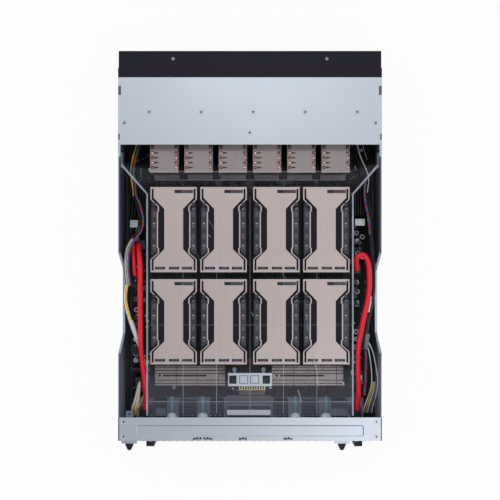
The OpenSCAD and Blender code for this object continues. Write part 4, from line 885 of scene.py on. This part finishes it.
def build_pipe_tips():
    """The domed copper ends of the heat pipes that stand in the switch heatsinks."""
    dim, bright = Solid(), Solid()
    low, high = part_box("switch_heatsinks")
    radius, height = 2.45 * MM, 1.1 * MM
    profile = [(ON_AXIS, -0.2 * MM), (radius, -0.2 * MM)]
    profile += [(radius * math.cos(a), height * math.sin(a)) for a in (0, 0.4, 0.8, 1.2)]
    profile += [(ON_AXIS, height)]
    for i in range(6):
        middle = (low.x + high.x) / 2 + (i - 2.5) * SWITCH_PITCH * MM
        for s in (-1, 1):
            for k, back in enumerate((16.8, 25.1, 33.3, 41.5)):
                foot = Vector((middle + s * 20 * MM, low.y + back * MM, high.z + 1.4 * MM))
                # Painted highlight: every other tip gets a brighter copper.
                (bright if (k + (s > 0)) % 2 else dim).lathe(foot, profile, "Z", 20)
    make_pieces(SLED, "copper", ("pipe_tips_dim", dim, "copper", 0, True),
                ("pipe_tips_highlit", bright, "copper_highlight", 0, True))


# ---- air duct


def build_duct_edges():
    """The edges of the clear duct with their painted highlight, its fold lines, the dots along its rear edge
    and faint streaks of painted reflection.
    """
    edge, fold, dots, streaks = (Solid() for _ in range(4))
    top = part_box("air_duct")[1].z / MM
    for s in (-1, 1):
        # Painted highlight: pale blue strips along the top edges of the duct walls and their slanted ends.
        edge.box(s * 171.0, 40.5, top - 2.4, s * 173.6, 412, top + 0.25)
        lean = Vector((1, 1, 0)).normalized() * 1.35
        across = Vector((-lean.y, lean.x, 0))
        start, stop = Vector((172.4, 412.0, 0)), Vector((214.6, 460.0, 0))
        corners = [start + across, start - across, stop - across * 1.5, stop + across * 1.5]
        outline = [tuple(at(s * p.x, p.y, 0).xy) for p in corners]
        edge.prism(outline if s < 0 else outline[::-1], (top - 3) * MM, (top + 0.3) * MM)
        edge.box(s * 213.2, 456, top - 22, s * 216.2, 476, top + 2)
    for x in (-112, -56, 0, 56, 112):
        fold.box(x - 0.4, 44, top - 0.3, x + 0.4, 408, top + 0.12)
    for y, half in ((64, 170), (192.5, 170), (435.2, 158)):
        fold.box(-half, y - 0.35, top - 0.3, half, y + 0.35, top + 0.12)
    fold.box(-170, 449.2, top - 0.4, 170, 450.1, top + 0.15)
    for i in range(44):
        dots.disc(at(-166 + i * 332 / 43, 40.9, top - 0.2), 0.8 * MM, 0.45 * MM, 8)
    # Painted reflection: faint pale streaks over the sheet.
    scratches_and_reflections = (
        (93, 215, 101, 165, 0.5), (101, 165, 107, 135, 0.8), (107, 135, 115, 90, 1.5), (80, 84, 86, 63, 1.4),
        (129, 196, 150, 262, 0.4), (-72, 372, -58, 350, 0.4), (-72, 345, -66, 340, 1.0),
        (-103, 352, -84, 300, 0.25), (40, 300, 66, 262, 0.25), (3, 214, 5, 207, 0.8),
        (132, 180, 136, 160, 0.5), (-150, 150, -140, 133, 0.3), (186, 500, 196, 470, 0.4),
    )
    for x0, y0, x1, y1, w in scratches_and_reflections:
        a, b = at(x0, y0, top + 0.05), at(x1, y1, top + 0.05)
        streaks.tube([a, (a + b) / 2 + Vector((w * 0.6 * MM, 0, 0)), b], w * 0.5 * MM, 5)
    make_pieces(SLED, "clear_plastic", ("duct_streaks", streaks, "streak"),
                ("duct_bright_edges", edge, "edge", 0.3), ("duct_fold_lines", fold, "fold"),
                ("duct_pin_dots", dots, "fold"))


# ---- side channels, rear zone and bridge


def scatter(x, y, sizes, targets, pad, rim):
    """One small part of the board at a place, on its solder pad."""
    w, l, h = random.choice(sizes)
    target = random.choice(targets)
    target.box(x - w / 2, y - l / 2, BOARD_TOP, x + w / 2, y + l / 2, BOARD_TOP + h)
    pad.box(x - w / 2 - rim, y - l / 2 + 0.4, BOARD_TOP, x + w / 2 + rim, y + l / 2 - 0.4, BOARD_TOP + 0.3)


def build_channels():
    """Capacitors, coils, chips and connectors on the strips of board beside the duct."""
    can, can_top, dark_top, coil, chip, pad, pale, metal = (Solid() for _ in range(8))
    places = (
        (-198, 127), (-198, 138), (-199, 150), (-198.5, 163), (-196, 202), (-197.5, 214), (-196, 337),
        (-195, 352), (184, 150), (185, 163), (184.5, 176), (186, 246), (185, 262), (184, 300),
        (187, 312), (186, 334), (185, 348), (195, 341), (196, 306),
    )
    for k, (x, y) in enumerate(places):
        tall = random.uniform(22, 30) + (6 if k < 4 else 0)
        can.disc(at(x, y, BOARD_TOP), 4.3 * MM, tall * MM, 20)
        (dark_top if k % 3 else can_top).disc(at(x, y, BOARD_TOP + tall), 3.2 * MM, 0.5 * MM, 20)
        coil.ring(at(x, y, BOARD_TOP + tall), 3.6 * MM, 0.75 * MM)
    for s in (-1, 1):
        for _ in range(75):
            x = s * random.uniform(176.5, 203)
            y = random.uniform(63, 540)
            sizes = ((2, 3.4, 1.2), (3, 5, 1.8), (5, 5, 3), (6, 8, 2.2), (2.4, 2.4, 5))
            scatter(x, y, sizes, (chip, chip, metal, pale), pad, 0.6)
    for _ in range(150):
        x = random.uniform(-165, 165)
        y = random.choice((random.uniform(70, 84), random.uniform(119, 124), random.uniform(427, 438)))
        sizes = ((3, 5, 2), (5, 6, 4), (7, 7, 3), (2.6, 2.6, 9), (4, 9, 7))
        scatter(x, y, sizes, (chip, chip, can, metal if y < 100 else chip), pad, 0.7)
    pale.box(-201.5, 109.5, BOARD_TOP, -191.5, 111.8, BOARD_TOP + 24)
    make_pieces(SLED, "board_fittings", ("board_capacitor_cans", can, "chip", 0, True),
                ("board_capacitor_tops", can_top, "pale", 0, True),
                ("board_capacitor_dark_tops", dark_top, "chip", 0, True),
                ("board_capacitor_rings", coil, "label", 0, True), ("board_chips", chip, "chip", 0.15),
                ("board_solder_pads", pad, "dark_pad"), ("board_pale_parts", pale, "slate", 0.2),
                ("board_metal_parts", metal, "socket", 0.2))


def build_rear_zone():
    """Bristling connector rows, adapter bodies and plates between the modules and the rear panel."""
    slot, fins, pale, dark, film, riser, slate = (Solid() for _ in range(7))
    floor_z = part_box("gpu_tray")[0].z / MM + 1.5
    for cx, w in ((-103.5, 121), (99.5, 123)):
        for k in range(4):
            x = cx - w / 2 + 6 + k * w / 4
            slot.box(x, 64, 56, x + w / 4 - 9, 81, 78)
            for i in range(7):
                fins.box(x + 1 + i * 3, 66 + 3 * (i % 2), 78, x + 2.2 + i * 3, 79, random.uniform(82, 90))
    adapters = ((-168, -146, 12, 58, 92), (-123, -93, 14, 55, 96), (-69, -46, 10, 57, 90),
                (42, 66, 12, 57, 94), (91, 119, 14, 55, 90), (143, 168, 12, 58, 96))
    for x0, x1, y0, y1, z in adapters:
        dark.box(x0, y0, floor_z, x1, y1, z)
        for i in range(5):
            y = y0 + 7 + i * (y1 - y0 - 16) / 4
            riser.box(x0 + 3, y, z, x1 - 3, y + 2.2, z + 1.6)
    dark.box(-39, 22, floor_z, 35, 43, 98)
    pale.box(-39.5, 33.5, 98, 35.5, 42.5, 100)
    slate.box(-163, 32, 92, -145, 44, 94)
    slate.box(121, 32, 96, 168, 44, 98)
    film.box(-200, 5, floor_z, 200, 59, floor_z + 0.4)
    make_pieces(SLED, "board_fittings", ("rear_slots", slot, "plastic", 0.5),
                ("rear_slot_fins", fins, "anodised"), ("rear_pale_plate", pale, "label", 0.6),
                ("rear_adapter_bodies", dark, "gloss", 1.5), ("rear_adapter_ribs", riser, "anodised", 0.3),
                ("rear_slate_plates", slate, "slate_plate", 0.8))
    make_piece("rear_film", film, "liner", SLED, "liner")


def build_bridge_details():
    """Painted shade in the spring slots and the hole of a tab on the bridge, painted highlight rims round its
    screws, hinge pads, and painted shadow in the slots beside the cover.
    """
    spring_slot_shades, tab, tab_hole_shade, rim_highlights, pads, side_slot_shadows = (Solid() for _ in range(6))
    # Painted shade: dark prisms fill the spring slots along the bridge's rear edge.
    groups = {-79.2: (-14.6, -9.2, -3.4, 2.8, 8.6, 14.6), -11.7: (-5, 0, 5), 64.4: (-5, 0, 5)}
    for middle, marks in groups.items():
        for k, dx in enumerate(marks):
            lean = (k - (len(marks) - 1) / 2) * 0.45
            x, y = middle + dx, 2.8 if k in (0, len(marks) - 1) else 4.4
            corners = ((-1.3, -1.7), (1.1, -1.7), (1.3, 1.7), (-1.1, 1.7))
            outline = [tuple(at(x + cx - lean * cy / 1.7, y + cy, 0).xy) for cx, cy in corners]
            spring_slot_shades.prism(outline, BRIDGE_HIGH.z - 1.2 * MM, BRIDGE_HIGH.z - 0.85 * MM)
    under = BRIDGE_TOP - 4
    tab.box(-207.5, BRIDGE_FRONT - 3, under, -195, BRIDGE_FRONT + 11, under + 1.6)
    # Painted shade: a dark disc stands for the hole in the tab.
    tab_hole_shade.disc(at(-201.2, BRIDGE_FRONT + 5.4, under + 1.6), 1.9 * MM, 0.3 * MM, 16)
    # Painted highlight: pale rims round the left screws of the bridge.
    for d in BRIDGE_SCREWS:
        rim_highlights.ring(at(-211.6, d - 0.7, BRIDGE_TOP - 1.05), 3.3 * MM, 0.45 * MM)
    front = (FRONT - REAR) / MM
    for s in (-1, 1):
        pads.box(s * 213.4, 484.5, 148, s * 218.5, 497, 166)
        # Painted shadow: dark plum pieces fill the slots in the cover's sides, over the shaded wall top.
        for y0, y1 in ((front - 73.3, front - 58.3), (front - 148, front - 138)):
            side_slot_shadows.box(s * 215.3, y0, TOP / MM - 1.3, s * 219.8, y1, TOP / MM - 0.5)
    make_pieces("chassis", "zinc_steel", ("bridge_spring_slot_shades", spring_slot_shades, "chip"),
                ("bridge_tab", tab, "catch", 0.6), ("bridge_tab_hole_shade", tab_hole_shade, "chip"),
                ("bridge_dimple_highlights", rim_highlights, "rib_highlight", 0, True),
                ("cover_hinge_pads", pads, "chip", 0.8), ("cover_slot_shadows", side_slot_shadows, "plum"))


# ---- stage


def build_floor():
    """A white floor that shows white to the camera and in reflections, but still keeps the shadow."""
    half, glow_share = 40.0, 0.95
    mesh = bpy.data.meshes.new("floor")
    corners = [(-half, -half, 0), (half, -half, 0), (half, half, 0), (-half, half, 0)]
    mesh.from_pydata(corners, [], [(0, 1, 2, 3)])
    floor = bpy.data.objects.new("floor", mesh)
    bpy.context.scene.collection.objects.link(floor)
    s = Shader("white_floor", (0.9, 0.9, 0.9), 0.5)
    rays = s.node("LightPath").outputs
    seen = s.math("MAXIMUM", rays["Is Camera Ray"], rays["Is Glossy Ray"], rays["Is Transmission Ray"])
    diffuse = s.feed(s.node("BsdfDiffuse"), Color=(0.9, 0.9, 0.9, 1))
    glow = s.feed(s.node("Emission"), Strength=1.0)
    blend = s.node("MixShader")
    parts = (s.math("MULTIPLY", seen, glow_share), diffuse.outputs[0], glow.outputs[0])
    for part, socket in zip(parts, blend.inputs):
        s.put(part, socket)
    s.feed(s.tree.nodes["Material Output"], Surface=blend.outputs[0])
    s.tree.nodes.remove(s.bsdf)
    mesh.materials.append(s.material)


def lamp(name, place, aim, size, power):
    data = bpy.data.lights.new(name, "AREA")
    data.shape = "RECTANGLE"
    data.size, data.size_y = size
    data.energy = power
    made = bpy.data.objects.new(name, data)
    made.location = place
    made.rotation_euler = (Vector(aim) - Vector(place)).to_track_quat("-Z", "Y").to_euler()
    bpy.context.scene.collection.objects.link(made)


def build_lights():
    """A pale sky, two small lamps near the camera and four large ones round the machine."""
    world = bpy.data.worlds.new("studio")
    bpy.context.scene.world = world
    world.use_nodes = True
    sky = world.node_tree.nodes["Background"]
    sky.inputs["Color"].default_value = (0.93, 0.96, 1.0, 1)
    sky.inputs["Strength"].default_value = 0.36
    lamp("overhead", (0.02, 0.92, 3.4), (0.02, 0.25, 0), (0.4, 0.3), 9.4)
    lamp("overhead_rear", (0.72, -0.85, 3.2), (0.2, -0.3, 0.17), (0.8, 0.4), 13.5)
    middle = (0, 0, 0.1)
    lamp("top_left", (-1.7, 0.3, 2.2), middle, (1.6, 2.4), 11.5)
    lamp("top_right", (1.7, 0.3, 2.2), middle, (1.6, 2.4), 10.5)
    lamp("top_front", (0, 2.3, 1.9), middle, (2.6, 1.4), 7)
    lamp("top_rear", (0, -2.3, 1.7), middle, (2.6, 1.4), 7)


def build_camera():
    """Looks straight down on the middle of the chassis."""
    data = bpy.data.cameras.new("camera")
    data.sensor_width = 36
    data.lens = 95
    data.clip_start = 0.01
    data.clip_end = 50
    camera = bpy.data.objects.new("camera", data)
    camera.location = (0, MIDDLE_Y - 6.9 * MM, TOP + CAMERA_HEIGHT)
    bpy.context.scene.collection.objects.link(camera)
    bpy.context.scene.camera = camera


random.seed(7)
paint_cad_nodes()
build_rear_face()
build_cables()
build_screws()
build_modules()
build_pipe_tips()
build_duct_edges()
build_channels()
build_rear_zone()
build_bridge_details()
build_floor()
build_lights()
build_camera()
bpy.context.scene.view_settings.view_transform = "Standard"
